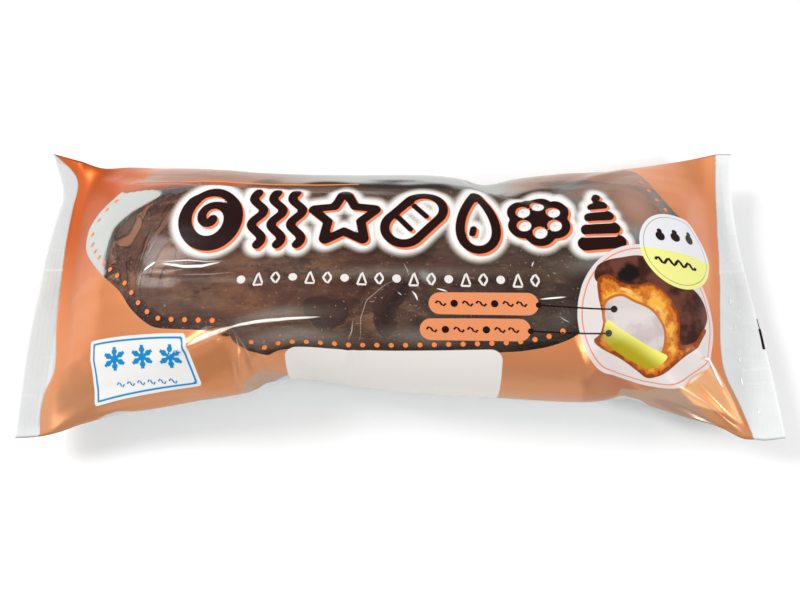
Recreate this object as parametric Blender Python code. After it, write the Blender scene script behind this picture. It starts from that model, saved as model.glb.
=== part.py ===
"""A chocolate eclair in its sealed film pack, lying on its back seam with the printed side up.

The pack is a flow wrap: one sheet of film rolled round the eclair, joined to itself along the
underside, and pressed flat at both ends. It is one closed solid. X runs along the pack, -Y is
the side nearest to the viewer, +Z is up, and the origin is under the middle of the pack, on the
surface that it rests on. Lengths below are in millimetres and MM turns them into metres.
"""

import math

import bmesh
import bpy

MM = 0.001

# The film and its seals.
PACK_LENGTH = 223.0
SEAL_WIDTH = 93.0
SEAL_LENGTH = 7.5
SEAL_THICKNESS = 0.7
SEAL_HEIGHT = 12.0
BACK_SEAM_WIDTH = 13.0
BACK_SEAM_THICKNESS = 0.5

# The filled middle of the pack.
CROWN_HEIGHT = 41.5
SIDE_HEIGHT = 19.0

HALF = PACK_LENGTH / 2
SEALED_FROM = HALF - SEAL_LENGTH
HALF_SEAL = SEAL_WIDTH / 2

# How far the film reaches from the middle line towards the viewer, at places along the pack.
# It is pulled in to the left of the middle, where the slack film has folded.
FRONT_REACH = [
    (-HALF, HALF_SEAL), (-SEALED_FROM, HALF_SEAL - 0.7), (-92, 42.2), (-78, 38.9), (-54, 35.8),
    (-42, 33.4), (-31, 29.6), (-15, 31.8), (0, 33.8), (28, 35.6), (54, 36.9), (64, 36.2),
    (72, 38.0), (88, 42.6), (SEALED_FROM, HALF_SEAL + 0.5), (HALF, HALF_SEAL),
]

# The same towards the back, where the film is nipped in to the right of the middle.
BACK_REACH = [
    (-HALF, HALF_SEAL), (-SEALED_FROM, HALF_SEAL - 2.6), (-97, 41.8), (-88, 41.6), (-75, 39.6),
    (-41, 34.2), (8, 33.2), (18, 32.0), (25.5, 29.8), (35, 31.9), (50, 34.1), (62, 36.0),
    (73, 39.2), (88, 43.2), (SEALED_FROM, HALF_SEAL), (HALF, HALF_SEAL),
]

# Height of the film over the middle line. It climbs from the flat seals over the eclair's ends.
CROWN = [
    (-HALF, SEAL_HEIGHT), (-SEALED_FROM, SEAL_HEIGHT + 0.3), (-95, 21.0), (-84, 31.0), (-70, 37.5),
    (-50, 40.5), (0, CROWN_HEIGHT), (50, 40.5), (70, 37.5), (84, 31.0), (95, 21.0),
    (SEALED_FROM, SEAL_HEIGHT + 0.3), (HALF, SEAL_HEIGHT),
]

# Height of the film's underside on the middle line.
KEEL = [
    (-HALF, SEAL_HEIGHT), (-SEALED_FROM, SEAL_HEIGHT - 0.3), (-94, 6.0), (-84, 1.6), (-76, 0.0),
    (76, 0.0), (84, 1.6), (94, 6.0), (SEALED_FROM, SEAL_HEIGHT - 0.3), (HALF, SEAL_HEIGHT),
]

# Height of the pack's side edges, from the flat seals to the eclair's widest line.
SIDE = [
    (-HALF, SEAL_HEIGHT), (-SEALED_FROM, SEAL_HEIGHT), (-84, 15.0), (-60, SIDE_HEIGHT),
    (60, SIDE_HEIGHT), (84, 15.0), (SEALED_FROM, SEAL_HEIGHT), (HALF, SEAL_HEIGHT),
]

# Where the cut edge of each end seal lies, by distance from the middle line: the seals are bent
# and curled, so their edges wander. Values are places along the pack.
LEFT_CUT = [
    (-HALF_SEAL, -111.7), (-33, -112.7), (-20, -113.3), (0, -112.3), (23, -110.8),
    (34, -110.0), (HALF_SEAL, -113.8),
]
RIGHT_CUT = [
    (-HALF_SEAL, 111.8), (-20, 110.5), (0, 108.8), (23, 107.2), (38, 107.6), (HALF_SEAL, 108.7),
]

# How far the same seals rise and dip out of their plane.
LEFT_WAVE = [(-HALF_SEAL, 0.4), (-20, -0.8), (10, 0.6), (32, -0.6), (HALF_SEAL, 2.6)]
RIGHT_WAVE = [(-HALF_SEAL, 0.6), (-25, 0.4), (0, -0.8), (25, 0.2), (HALF_SEAL, 2.4)]
WAVE_FADES_FROM = 88.0

# 0 is a sharp side edge, as beside the seals, and 1 a round side, as along the eclair.
ROUNDNESS = [
    (-HALF, 0.0), (-SEALED_FROM, 0.0), (-88, 0.15), (-70, 0.6), (-50, 1.0),
    (50, 1.0), (70, 0.6), (88, 0.15), (SEALED_FROM, 0.0), (HALF, 0.0),
]

# Folds of the slack film: start and end as (x, y) seen from above, depth and half width.
# A positive depth is a groove, and a negative one is a ridge.
FOLDS = [
    ((-58, -14), (-24, -34), 2.6, 5.0),
    ((-62, -20), (-98, -38), -1.4, 5.0),
    ((-52, -16), (-20, -12), -0.9, 4.5),
    ((-20, -30), (22, -25), -1.2, 5.5),
    ((28, 33), (44, 14), 2.2, 5.0),
    ((50, 22), (96, 36), -1.3, 5.0),
    ((-90, 30), (-20, 25), -1.0, 5.0),
    ((86, -8), (100, -38), -1.8, 4.5),
    ((62, -34), (78, -12), 1.5, 5.0),
    ((-7, -26), (-2, 6), 1.0, 4.5),
]

QUARTER_STEPS = 12
DENSE_STEPS = 96
BODY_STATIONS = 78


def along(stations, x):
    """The value at x on a smooth curve through the stations, each (x, value)."""
    if x <= stations[0][0]:
        return stations[0][1]
    if x >= stations[-1][0]:
        return stations[-1][1]
    i = max(k for k, (place, _) in enumerate(stations) if place <= x)
    before, (x0, v0), (x1, v1) = stations[max(i - 1, 0)], stations[i], stations[i + 1]
    after = stations[min(i + 2, len(stations) - 1)]
    slope0 = (v1 - before[1]) / max(x1 - before[0], 1e-9)
    slope1 = (after[1] - v0) / max(after[0] - x0, 1e-9)
    step = x1 - x0
    s = (x - x0) / step
    return (
        v0 * (2 * s**3 - 3 * s**2 + 1)
        + slope0 * step * (s**3 - 2 * s**2 + s)
        + v1 * (3 * s**2 - 2 * s**3)
        + slope1 * step * (s**3 - s**2)
    )


def quarter(x, side, upper):
    """A quarter of the section at x, from the middle line out to the side edge, as dense points."""
    reach = along(BACK_REACH if side > 0 else FRONT_REACH, x)
    round_share = min(max(along(ROUNDNESS, x), 0.0), 1.0)
    edge = along(SIDE, x)
    if upper:
        rise = max(along(CROWN, x) - edge, 0.0)
        fullness = 2.0 + 0.3 * round_share
    else:
        rise = -max(edge - max(along(KEEL, x), 0.0) - BACK_SEAM_THICKNESS, 0.0)
        fullness = 2.0 + 2.2 * round_share
    power = 1.0 - 0.5 * round_share
    half_film = SEAL_THICKNESS / 2 * (1 if upper else -1)
    start = 0.0 if upper else BACK_SEAM_WIDTH / 2
    points = []
    for k in range(DENSE_STEPS + 1):
        t = math.sin(math.pi / 2 * k / DENSE_STEPS)
        swell = rise * (1 - t**fullness) ** power
        film = half_film * (1 - t**10) ** 0.5
        points.append((side * (start + (reach - start) * t), edge + swell + film))
    return points


def evenly(points, steps):
    """Steps + 1 points at equal distances along a line of points."""
    lengths = [0.0]
    for a, b in zip(points, points[1:]):
        lengths.append(lengths[-1] + math.dist(a, b))
    spaced, k = [], 0
    for i in range(steps + 1):
        wanted = lengths[-1] * i / steps
        while k < len(points) - 2 and lengths[k + 1] < wanted:
            k += 1
        share = (wanted - lengths[k]) / max(lengths[k + 1] - lengths[k], 1e-9)
        share = min(max(share, 0.0), 1.0)
        spaced.append(tuple(a + (b - a) * share for a, b in zip(points[k], points[k + 1])))
    return spaced


def fold_depth(x, y):
    """How far the folds push the film in at a place seen from above."""
    depth = 0.0
    for (ax, ay), (bx, by), deep, half_width in FOLDS:
        dx, dy = bx - ax, by - ay
        share = ((x - ax) * dx + (y - ay) * dy) / (dx * dx + dy * dy)
        nearest = min(max(share, 0.0), 1.0)
        away = math.hypot(x - ax - nearest * dx, y - ay - nearest * dy)
        fade = math.sin(math.pi * min(max(share, 0.03), 0.97))
        depth += deep * fade * max(1 - away / half_width, 0.0) ** 1.5
    return depth


def folded(x, y, z, edge):
    """A point of the upper film, pushed towards the pack's middle line by the folds."""
    centre = (edge + SEAL_HEIGHT) / 2
    away = math.hypot(y, z - centre)
    if away < 1e-6:
        return y, z
    flatness = min(max((abs(x) - 76) / 16, 0.0), 1.0)
    push = fold_depth(x, y) * (1 - flatness)
    return y * (1 - push / away), z - (z - centre) * push / away


def section(x):
    """The closed section at x: over the top from front to back, then under, round the back seam."""
    edge = along(SIDE, x)
    front_top = evenly(quarter(x, -1, True), QUARTER_STEPS)
    back_top = evenly(quarter(x, 1, True), QUARTER_STEPS)
    over = [folded(x, y, z, edge) for y, z in front_top[::-1] + back_top[1:]]
    back_under = evenly(quarter(x, 1, False), QUARTER_STEPS - 2)
    front_under = evenly(quarter(x, -1, False), QUARTER_STEPS - 2)
    seam = [(y, z - BACK_SEAM_THICKNESS) for y, z in (back_under[0], front_under[0])]
    return over + back_under[-2::-1] + seam + front_under[:-1]


def curled(x, y, z):
    """A point near either end, moved to follow the bent and curled end seal."""
    cut, wave = (LEFT_CUT, LEFT_WAVE) if x < 0 else (RIGHT_CUT, RIGHT_WAVE)
    sealed = min(max((abs(x) - SEALED_FROM) / SEAL_LENGTH, 0.0), 1.0)
    shift = (along(cut, y) - math.copysign(HALF, x)) * sealed
    near_end = min(max((abs(x) - WAVE_FADES_FROM) / (SEALED_FROM - WAVE_FADES_FROM), 0.0), 1.0)
    return x + shift, y, z + along(wave, y) * near_end**2


def stations():
    """Places along the pack: close together on the seals and ends, wider along the middle."""
    inner = [
        -SEALED_FROM + 2 * SEALED_FROM * (k / BODY_STATIONS) for k in range(BODY_STATIONS + 1)
    ]
    seal = [HALF, HALF - SEAL_LENGTH / 2]
    return [-x for x in seal] + inner + seal[::-1]


def make_pack():
    """The sealed pack, lofted through its sections and closed at both cut edges."""
    shape = bmesh.new()
    rings = []
    for x in stations():
        ring = [shape.verts.new([MM * c for c in curled(x, y, z)]) for y, z in section(x)]
        rings.append(ring)
    for here, there in zip(rings, rings[1:]):
        for k in range(len(here)):
            n = (k + 1) % len(here)
            shape.faces.new((here[k], here[n], there[n], there[k]))
    shape.faces.new(rings[0])
    shape.faces.new(rings[-1])
    bmesh.ops.recalc_face_normals(shape, faces=shape.faces)
    bmesh.ops.triangulate(shape, faces=[f for f in shape.faces if len(f.verts) > 4])
    for face in shape.faces:
        face.smooth = True
    mesh = bpy.data.meshes.new("film_pack")
    shape.to_mesh(mesh)
    shape.free()
    pack = bpy.data.objects.new("film_pack", mesh)
    bpy.context.scene.collection.objects.link(pack)
    return pack


def rest_on_the_origin(pack):
    """Moves the pack's points so that its box stands on the origin, centred over it."""
    places = [v.co for v in pack.data.vertices]
    low = [min(p[i] for p in places) for i in range(3)]
    high = [max(p[i] for p in places) for i in range(3)]
    for vertex in pack.data.vertices:
        vertex.co.x -= (low[0] + high[0]) / 2
        vertex.co.y -= (low[1] + high[1]) / 2
        vertex.co.z -= low[2]


def film_material():
    """Glossy film printed in copper orange."""
    material = bpy.data.materials.new("printed_film")
    material.use_nodes = True
    surface = material.node_tree.nodes["Principled BSDF"]
    surface.inputs["Base Color"].default_value = (0.83, 0.37, 0.16, 1.0)
    surface.inputs["Metallic"].default_value = 0.2
    surface.inputs["Roughness"].default_value = 0.3
    return material


def main():
    for old in list(bpy.data.objects):
        bpy.data.objects.remove(old)
    pack = make_pack()
    rest_on_the_origin(pack)
    pack.data.materials.append(film_material())


main()
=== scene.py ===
# %% [markdown]
# # A chocolate eclair in its film pack
# A long eclair lies in a flow wrap: one sheet of thin film, printed in copper orange, rolled
# round it, joined underneath and pressed flat at both ends. A clear window in the print shows
# the chocolate. This script makes the film as one rolled sheet, the eclair inside it, and the
# print as inks laid on the film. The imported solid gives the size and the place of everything.

import math

import bmesh
import bpy
import numpy as np
from mathutils import Matrix, Vector, noise
from mathutils.bvhtree import BVHTree


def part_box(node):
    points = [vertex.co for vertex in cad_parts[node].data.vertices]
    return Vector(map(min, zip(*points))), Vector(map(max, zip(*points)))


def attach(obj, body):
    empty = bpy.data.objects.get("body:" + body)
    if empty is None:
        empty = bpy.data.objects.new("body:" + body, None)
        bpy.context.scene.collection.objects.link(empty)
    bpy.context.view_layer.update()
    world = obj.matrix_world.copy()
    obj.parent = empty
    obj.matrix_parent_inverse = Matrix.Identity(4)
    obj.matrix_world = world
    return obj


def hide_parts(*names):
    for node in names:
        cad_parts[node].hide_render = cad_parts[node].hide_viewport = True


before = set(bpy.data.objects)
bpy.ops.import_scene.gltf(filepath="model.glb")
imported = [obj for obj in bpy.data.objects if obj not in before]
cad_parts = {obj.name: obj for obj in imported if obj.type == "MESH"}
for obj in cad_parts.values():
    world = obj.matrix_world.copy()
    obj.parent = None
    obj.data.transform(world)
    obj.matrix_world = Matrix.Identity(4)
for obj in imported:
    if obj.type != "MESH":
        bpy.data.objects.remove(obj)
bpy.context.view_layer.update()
MM = 0.001
pack_low, pack_high = (np.array(corner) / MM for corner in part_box("film_pack"))
print("the pack's solid is", np.round(pack_high - pack_low, 1), "mm")

# %% [markdown]
# ## The shape of the wrapped film
# A flow wrap is a tube of film. At its ends the tube is flat, and along the eclair it is round.
# So the shape is a row of sections along the pack, each one a closed curve: a crown over the
# top, sharp or round side edges, and an underside that rests on the table. The numbers along
# the pack are the few places where a section was measured, and a smooth curve joins them.
# A cloth simulation would wrap the film too, but the folds would then fall where chance puts
# them, and this pack has its own.

# %% Sizes of the wrapped film, in millimetres
PACK_LENGTH = 223.0
SEAL_WIDTH = 93.0
SEAL_LENGTH = 7.5
SEAL_THICKNESS = 0.5
SEAL_HEIGHT = 12.0
BACK_SEAM_WIDTH = 13.0
BACK_SEAM_THICKNESS = 0.5
CROWN_HEIGHT = 41.5
SIDE_HEIGHT = 19.0

HALF = PACK_LENGTH / 2
SEALED_FROM = HALF - SEAL_LENGTH
HALF_SEAL = SEAL_WIDTH / 2

FRONT_REACH = [
    (-HALF, HALF_SEAL), (-SEALED_FROM, HALF_SEAL - 0.7), (-92, 42.2), (-78, 38.9), (-54, 35.8),
    (-42, 33.4), (-31, 29.6), (-15, 31.8), (0, 33.8), (28, 35.6), (54, 36.9), (64, 36.2),
    (72, 38.0), (88, 42.6), (SEALED_FROM, HALF_SEAL + 0.5), (HALF, HALF_SEAL),
]
BACK_REACH = [
    (-HALF, HALF_SEAL), (-SEALED_FROM, HALF_SEAL - 2.6), (-97, 41.8), (-88, 41.6), (-75, 39.6),
    (-41, 34.2), (8, 33.2), (18, 32.0), (25.5, 29.8), (35, 31.9), (50, 34.1), (62, 36.0),
    (73, 39.2), (88, 43.2), (SEALED_FROM, HALF_SEAL), (HALF, HALF_SEAL),
]
CROWN = [
    (-HALF, SEAL_HEIGHT), (-SEALED_FROM, SEAL_HEIGHT + 0.3), (-95, 21.0), (-84, 31.0), (-70, 37.5),
    (-50, 40.5), (0, CROWN_HEIGHT), (50, 40.5), (70, 37.5), (84, 31.0), (95, 21.0),
    (SEALED_FROM, SEAL_HEIGHT + 0.3), (HALF, SEAL_HEIGHT),
]
KEEL = [
    (-HALF, SEAL_HEIGHT), (-SEALED_FROM, SEAL_HEIGHT - 0.3), (-94, 6.0), (-84, 1.6), (-76, 0.0),
    (76, 0.0), (84, 1.6), (94, 6.0), (SEALED_FROM, SEAL_HEIGHT - 0.3), (HALF, SEAL_HEIGHT),
]
SIDE = [
    (-HALF, SEAL_HEIGHT), (-SEALED_FROM, SEAL_HEIGHT), (-84, 15.0), (-60, SIDE_HEIGHT),
    (60, SIDE_HEIGHT), (84, 15.0), (SEALED_FROM, SEAL_HEIGHT), (HALF, SEAL_HEIGHT),
]
ROUNDNESS = [
    (-HALF, 0.0), (-SEALED_FROM, 0.0), (-88, 0.15), (-70, 0.6), (-50, 1.0),
    (50, 1.0), (70, 0.6), (88, 0.15), (SEALED_FROM, 0.0), (HALF, 0.0),
]
LEFT_CUT = [
    (-HALF_SEAL, -111.7), (-33, -112.7), (-20, -113.3), (0, -112.3), (23, -110.8),
    (34, -110.0), (HALF_SEAL, -113.8),
]
RIGHT_CUT = [
    (-HALF_SEAL, 111.8), (-20, 110.5), (0, 108.8), (23, 107.2), (38, 107.6), (HALF_SEAL, 108.7),
]
LEFT_WAVE = [(-HALF_SEAL, 0.4), (-20, -0.8), (10, 0.6), (32, -0.6), (HALF_SEAL, 2.6)]
RIGHT_WAVE = [(-HALF_SEAL, 0.6), (-25, 0.4), (0, -0.8), (25, 0.2), (HALF_SEAL, 2.4)]
WAVE_FADES_FROM = 88.0
print("laid flat, the film is", PACK_LENGTH, "by", 4 * HALF_SEAL, "mm")

# %% A smooth curve through measured places
def along(stations, x):
    """The value at x on a smooth curve through the stations, each (place, value)."""
    places = np.array([s[0] for s in stations], float)
    values = np.array([s[1] for s in stations], float)
    x = np.clip(x, places[0], places[-1])
    k = np.clip(np.searchsorted(places, x, side="right") - 1, 0, len(places) - 2)
    before, after = np.maximum(k - 1, 0), np.minimum(k + 2, len(places) - 1)
    step = places[k + 1] - places[k]
    slope0 = (values[k + 1] - values[before]) / (places[k + 1] - places[before])
    slope1 = (values[after] - values[k]) / (places[after] - places[k])
    s = (x - places[k]) / step
    return (
        values[k] * (2 * s**3 - 3 * s**2 + 1) + slope0 * step * (s**3 - 2 * s**2 + s)
        + values[k + 1] * (3 * s**2 - 2 * s**3) + slope1 * step * (s**3 - s**2)
    )


print("90 mm from the middle, the crown is", along(CROWN, 90.0).round(1), "mm up")

# %% [markdown]
# ### From a flat sheet to a section
# A point of the film is named by where it lies on the flat sheet: u along the pack and v round
# it, both in millimetres, with v = 0 on the middle line of the printed face. Wrapping keeps v
# even along each quarter of the section, as film doesn't stretch. A quarter's curve has an
# exponent, which is 2 for an ellipse and more for a boxier shape.

# %% One quarter of a section
DENSE = np.sin(np.linspace(0, math.pi / 2, 240))
ELLIPSE = 2.0
BOXIER_ABOVE = 0.3
BOXIER_BELOW = 2.2
EDGE_EXPONENT = 10


def quarter(x, side, upper, shares):
    """Points of a quarter section at x, at the given shares of the way out to the side edge."""
    reach = along(BACK_REACH if side > 0 else FRONT_REACH, x)
    round_share = np.clip(along(ROUNDNESS, x), 0, 1)
    edge = along(SIDE, x)
    if upper:
        rise = max(along(CROWN, x) - edge, 0.0)
        fullness = ELLIPSE + BOXIER_ABOVE * round_share
    else:
        rise = -max(edge - max(along(KEEL, x), 0.0) - BACK_SEAM_THICKNESS, 0.0)
        fullness = ELLIPSE + BOXIER_BELOW * round_share
    start = 0.0 if upper else BACK_SEAM_WIDTH / 2
    swell = rise * (1 - DENSE**fullness) ** (1.0 - 0.5 * round_share)
    film = SEAL_THICKNESS / 2 * (1 if upper else -1) * (1 - DENSE**EDGE_EXPONENT) ** 0.5
    y = side * (start + (reach - start) * DENSE)
    z = edge + swell + film
    length = np.concatenate([[0], np.cumsum(np.hypot(np.diff(y), np.diff(z)))])
    places = np.asarray(shares) * length[-1]
    return np.interp(places, length, y), np.interp(places, length, z)


# %% The whole sheet, wrapped, and curled at its ends
def wrapped(us, vs):
    """The wrapped film before its folds: a grid of points for all u and v of the flat sheet."""
    us, vs = np.asarray(us, float), np.asarray(vs, float)
    share = np.abs(vs) / HALF_SEAL
    shape = np.zeros((len(us), len(vs), 3))
    for i, u in enumerate(us):
        for side in (-1, 1):
            for upper in (True, False):
                here = ((vs >= 0) == (side > 0)) & ((share <= 1) == upper)
                shares = share[here] if upper else 2 - share[here]
                y, z = quarter(u, side, upper, shares)
                shape[i, here] = np.stack([np.full(len(y), u), y, z], -1)
    return shape


def curled(shape):
    """The wrapped film with its end seals cut askew and curled a little."""
    x, y = shape[..., 0].copy(), shape[..., 1]
    sealed = np.clip((np.abs(x) - SEALED_FROM) / SEAL_LENGTH, 0, 1)
    near_end = np.clip((np.abs(x) - WAVE_FADES_FROM) / (SEALED_FROM - WAVE_FADES_FROM), 0, 1)
    left = x < 0
    cut = np.where(left, along(LEFT_CUT, y), along(RIGHT_CUT, y))
    wave = np.where(left, along(LEFT_WAVE, y), along(RIGHT_WAVE, y))
    shape[..., 0] += (cut - np.sign(x) * HALF) * sealed
    shape[..., 2] += wave * near_end**2
    return shape


top, edge = wrapped([0.0], [0.0, HALF_SEAL])[0]
print("half way along, the top is", top[2].round(1), "mm up, the side", edge[1].round(1), "mm out")

# %% [markdown]
# ### Folds
# Slack film folds in straight creases that meet in knots, and each crease catches the light as
# a thin line between two flat facets. A crease here is a line on the flat sheet with a height:
# the film rises to it, or sinks, like a tent over a rope, and the rope's ends fade out.

# %% Creases of the film
# Each crease: its points (u, v) on the flat sheet, its height and how far its sides reach.
CREASES = [
    ([(-70, -31.5), (-57, -25.7), (-51.2, -23.1), (-45.7, -21.7), (-38, -21.4)], 1.2, 7.0),
    ([(-66, -29.8), (-57, -25.7), (-51.2, -23.1), (-45.7, -21.7), (-41, -21.0)], 2.2, 3.0),
    ([(-52, -22.8), (-45.7, -21.7), (-39.4, -20.9), (-32.7, -21.2), (-23.4, -20.4), (-12, -20)], 1.9, 3.2),
    ([(-50, -25), (-38, -24.5), (-25, -24.0), (-10, -24.0)], -1.1, 3.6),
    ([(-50.5, -24.2), (-47, -24.0), (-44.0, -25.4)], -1.5, 1.8),
    ([(-48.0, -22), (-42.4, -29), (-38.7, -39.7), (-38.5, -54)], -2.2, 5.0),
    ([(-46.5, -20.5), (-44.4, -27.8), (-44.2, -33.4), (-44.5, -39.4), (-43.7, -46.2)], 1.2, 1.9),
    ([(-47.2, -25), (-46.6, -34), (-47.2, -46)], -0.7, 2.0),
    ([(-46.0, -20.5), (-42.9, -27.3), (-41.2, -31.8), (-40.0, -37.9), (-39.6, -44)], 1.3, 1.7),
    ([(-41, -24.5), (-36.5, -31), (-34.5, -42)], 0.8, 2.4),
    ([(-106, -47), (-88.5, -42.2), (-75.3, -41.0), (-52, -38.6)], 0.9, 4.0),
    ([(-98, -50), (-80, -49), (-58, -48)], 1.0, 5.0),
    ([(20, 34), (26.3, 29.0), (35, 22.5), (47, 14.5)], -2.0, 4.5),
    ([(42, 17.0), (49.3, 22.7), (60, 31.5), (72, 40.5)], 1.0, 4.0),
    ([(-97, 41), (-90.8, 37.0), (-84, 31.0), (-75, 27), (-58.4, 23.2), (-40, 21.4),
      (-25.8, 20), (0, 18.6), (22, 19)], 0.9, 3.2),
    ([(-88, 40), (-74, 32), (-58.4, 27.0), (-25.8, 24), (0, 23)], -0.9, 3.2),
    ([(82, -22), (86.5, -28.5), (93.5, -36), (102.5, -47)], 1.7, 4.5),
    ([(72, -35.8), (79.4, -37.0), (90, -41.0), (103, -47.5)], 1.9, 4.2),
    ([(84, -33), (90, -37.6), (98, -43.2)], -1.2, 3.0),
    ([(70, -42), (84, -43.5), (100, -48)], -1.1, 4.0),
    ([(45, -20), (50, -31), (52.5, -48)], 1.3, 5.0),
    ([(56, -27), (60, -38), (66, -50)], -1.7, 5.5),
    ([(-12, -34), (-10.6, -25), (-10.6, -20), (-9.0, -14.9), (-4.1, -10.4), (2, -7)], 0.7, 2.0),
    ([(-15, -36), (-14, -28), (-13.6, -20)], 0.5, 1.8),
    ([(-5, -25), (-3, -16), (2, -10)], -0.8, 4.0),
    ([(-74, -3.6), (-66, -5.2), (-58, -5.0), (-48, -3.2)], 0.3, 1.6),
    ([(-50, 3.0), (-20, -0.5), (18, -2.0)], 0.25, 2.4),
    ([(36, -10), (52, -12), (70, -10)], 0.3, 2.0),
    ([(92, 30), (84, 14), (80, 2)], 0.6, 5.0),
    ([(99, 12), (90, 2), (84, -10)], 0.5, 4.5),
    ([(-100, 20), (-88, 16), (-80, 8)], 0.5, 5.0),
    ([(-102, -6), (-92, -6), (-84, -8)], 0.5, 4.5),
    ([(-103, -28), (-92, -27), (-80, -30)], 0.6, 4.5),
]
print(len(CREASES), "creases, the highest", max(crease[1] for crease in CREASES), "mm high")

# %% How a crease lifts the film
CREASE_ROUNDING = 0.35
CREASE_FADE = 0.6
CREASE_FLARE = 0.45
FAR = 1e9


def from_segment(u, v, start, end):
    """How far each u, v is from a straight piece of line, and its share of the way along it."""
    du, dv = end[0] - start[0], end[1] - start[1]
    share = ((u - start[0]) * du + (v - start[1]) * dv) / max(du * du + dv * dv, 1e-9)
    share = np.clip(share, 0, 1)
    return np.hypot(u - start[0] - share * du, v - start[1] - share * dv), share


def crease_height(u, v, points, height, reach):
    """How far one crease lifts the film at u, v."""
    nearest = np.full(u.shape, FAR)
    fade = np.zeros(u.shape)
    pairs = list(zip(points, points[1:]))
    for k, pair in enumerate(pairs):
        away, share = from_segment(u, v, *pair)
        closer = away < nearest
        nearest = np.where(closer, away, nearest)
        fade = np.where(closer, np.sin(math.pi * (k + share) / len(pairs)), fade)
    rounded = np.hypot(nearest, CREASE_ROUNDING) - CREASE_ROUNDING
    tent = np.clip(1 - rounded / reach, 0, 1)
    return height * np.clip(fade, 0, 1) ** CREASE_FADE * tent * (1 - CREASE_FLARE * (1 - tent))


# %% [markdown]
# ### The sheet
# The film is made as it is on the machine: a flat sheet, which `bmesh.ops.create_grid` gives,
# whose points are then wrapped. The creases lift the wrapped film along its own normal, less
# and less towards the end seals and the underside. The film rests on its back seam, so its
# lowest point is a little above the table. The table of wrapped points is kept, because the
# small print and the glints are laid on the same film.

# %% The wrapped and folded film as a table of points
SEAL_ROWS = 24
BODY_ROWS = 264
QUARTER_ROWS = 60
UNDER_ROWS = 40
LIFT_ENDS = SEALED_FROM + 1.0
LIFT_EASE = 6.0
UNDERSIDE_FROM = 62.0
UNDERSIDE_EASE = 10.0
FILM_BASE = 0.4

seal_steps = np.linspace(SEALED_FROM, HALF, SEAL_ROWS + 1)
body_steps = np.linspace(-SEALED_FROM, SEALED_FROM, BODY_ROWS + 1)
U = np.concatenate([-seal_steps[:0:-1], body_steps, seal_steps[1:]])
V = np.concatenate([
    np.linspace(-2 * HALF_SEAL, -HALF_SEAL, UNDER_ROWS + 1)[:-1],
    np.linspace(-HALF_SEAL, HALF_SEAL, 2 * QUARTER_ROWS + 1),
    np.linspace(HALF_SEAL, 2 * HALF_SEAL, UNDER_ROWS + 1)[1:],
])
FLAT_U, FLAT_V = np.meshgrid(U, V, indexing="ij")


def outward(shape):
    """The outward unit normals of a table of points."""
    n = np.cross(np.gradient(shape, axis=0), np.gradient(shape, axis=1))
    return n / np.maximum(np.linalg.norm(n, axis=-1, keepdims=True), 1e-9)


def ripple(u, v):
    """Small slack ripples of the film, which run along the pack."""
    def height(x, y):
        broad = noise.noise((x * 0.035, y * 0.16, 3.1))
        fine = noise.noise((x * 0.11, y * 0.42, 8.4))
        return 0.20 * broad + 0.06 * fine

    return np.vectorize(height)(u, v)


film = curled(wrapped(U, V))
lifts = np.array([crease_height(FLAT_U, FLAT_V, *crease) for crease in CREASES])
crease_lift = np.maximum(lifts.max(axis=0), 0) + np.minimum(lifts.min(axis=0), 0)
unsealed = np.clip((LIFT_ENDS - np.abs(FLAT_U)) / LIFT_EASE, 0, 1)
upper_film = 1 - np.clip((np.abs(FLAT_V) - UNDERSIDE_FROM) / UNDERSIDE_EASE, 0, 1)
lift = (crease_lift + ripple(FLAT_U, FLAT_V)) * unsealed * upper_film
film += outward(film) * lift[..., None]
film += (pack_low + pack_high) / 2 - (film.min(axis=(0, 1)) + film.max(axis=(0, 1))) / 2
film[..., 2] += pack_low[2] + FILM_BASE - film[..., 2].min()
FILM_NORMALS = outward(film)
film_low, film_high = film.min(axis=(0, 1)), film.max(axis=(0, 1))
print("film table", film.shape, "from", film_low.round(1), "to", film_high.round(1))

# %% The film as a mesh
RIB_PITCH = 1.25
RIB_HEIGHT = 0.018
RIB_EASE = 0.6


def finished(name, shape):
    """Turns a bmesh into a smooth piece of the scene, at the origin."""
    for face in shape.faces:
        face.smooth = True
    mesh = bpy.data.meshes.new(name)
    shape.to_mesh(mesh)
    shape.free()
    piece = bpy.data.objects.new(name, mesh)
    bpy.context.scene.collection.objects.link(piece)
    return piece


def store(piece, name, values):
    """Keeps one number for each vertex on the mesh, under a name that a material can read."""
    layer = piece.data.attributes.new(name, "FLOAT", "POINT")
    layer.data.foreach_set("value", np.asarray(values, np.float32))


def sheet(name, points, flat_u, flat_v):
    """A flat grid whose points are moved to a table of points, with u and v kept on it."""
    rows, columns = points.shape[:2]
    shape = bmesh.new()
    bmesh.ops.create_grid(shape, x_segments=rows - 1, y_segments=columns - 1, size=1.0)
    places = []
    for vertex in shape.verts:
        i = round((vertex.co.x + 1) / 2 * (rows - 1))
        j = round((vertex.co.y + 1) / 2 * (columns - 1))
        places.append((i, j))
        vertex.co = points[i, j] * MM
    piece = finished(name, shape)
    i, j = np.array(places).T
    store(piece, "flat_u", flat_u[i, j])
    store(piece, "flat_v", flat_v[i, j])
    return piece, (i, j)


ribs = RIB_HEIGHT * np.sin(2 * math.pi * FLAT_U / RIB_PITCH)
ribbed = film.copy()
ribbed[..., 2] += ribs * np.clip((np.abs(FLAT_U) - SEALED_FROM) / RIB_EASE, 0, 1)
wrap, (WRAP_I, WRAP_J) = sheet("film_wrap", ribbed, FLAT_U, FLAT_V)
print("film_wrap has", len(wrap.data.polygons), "faces")

# %% [markdown]
# ## The print
# The print is flat colour: each shape of it is a distance on the flat sheet, in millimetres
# from the shape's edge and negative inside. The distances are kept on the film's vertices, and
# the film's material turns each into an ink where it passes zero. This keeps an edge crisp
# between vertices, and the inks follow every fold. Decals would need the same folds twice.

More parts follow.
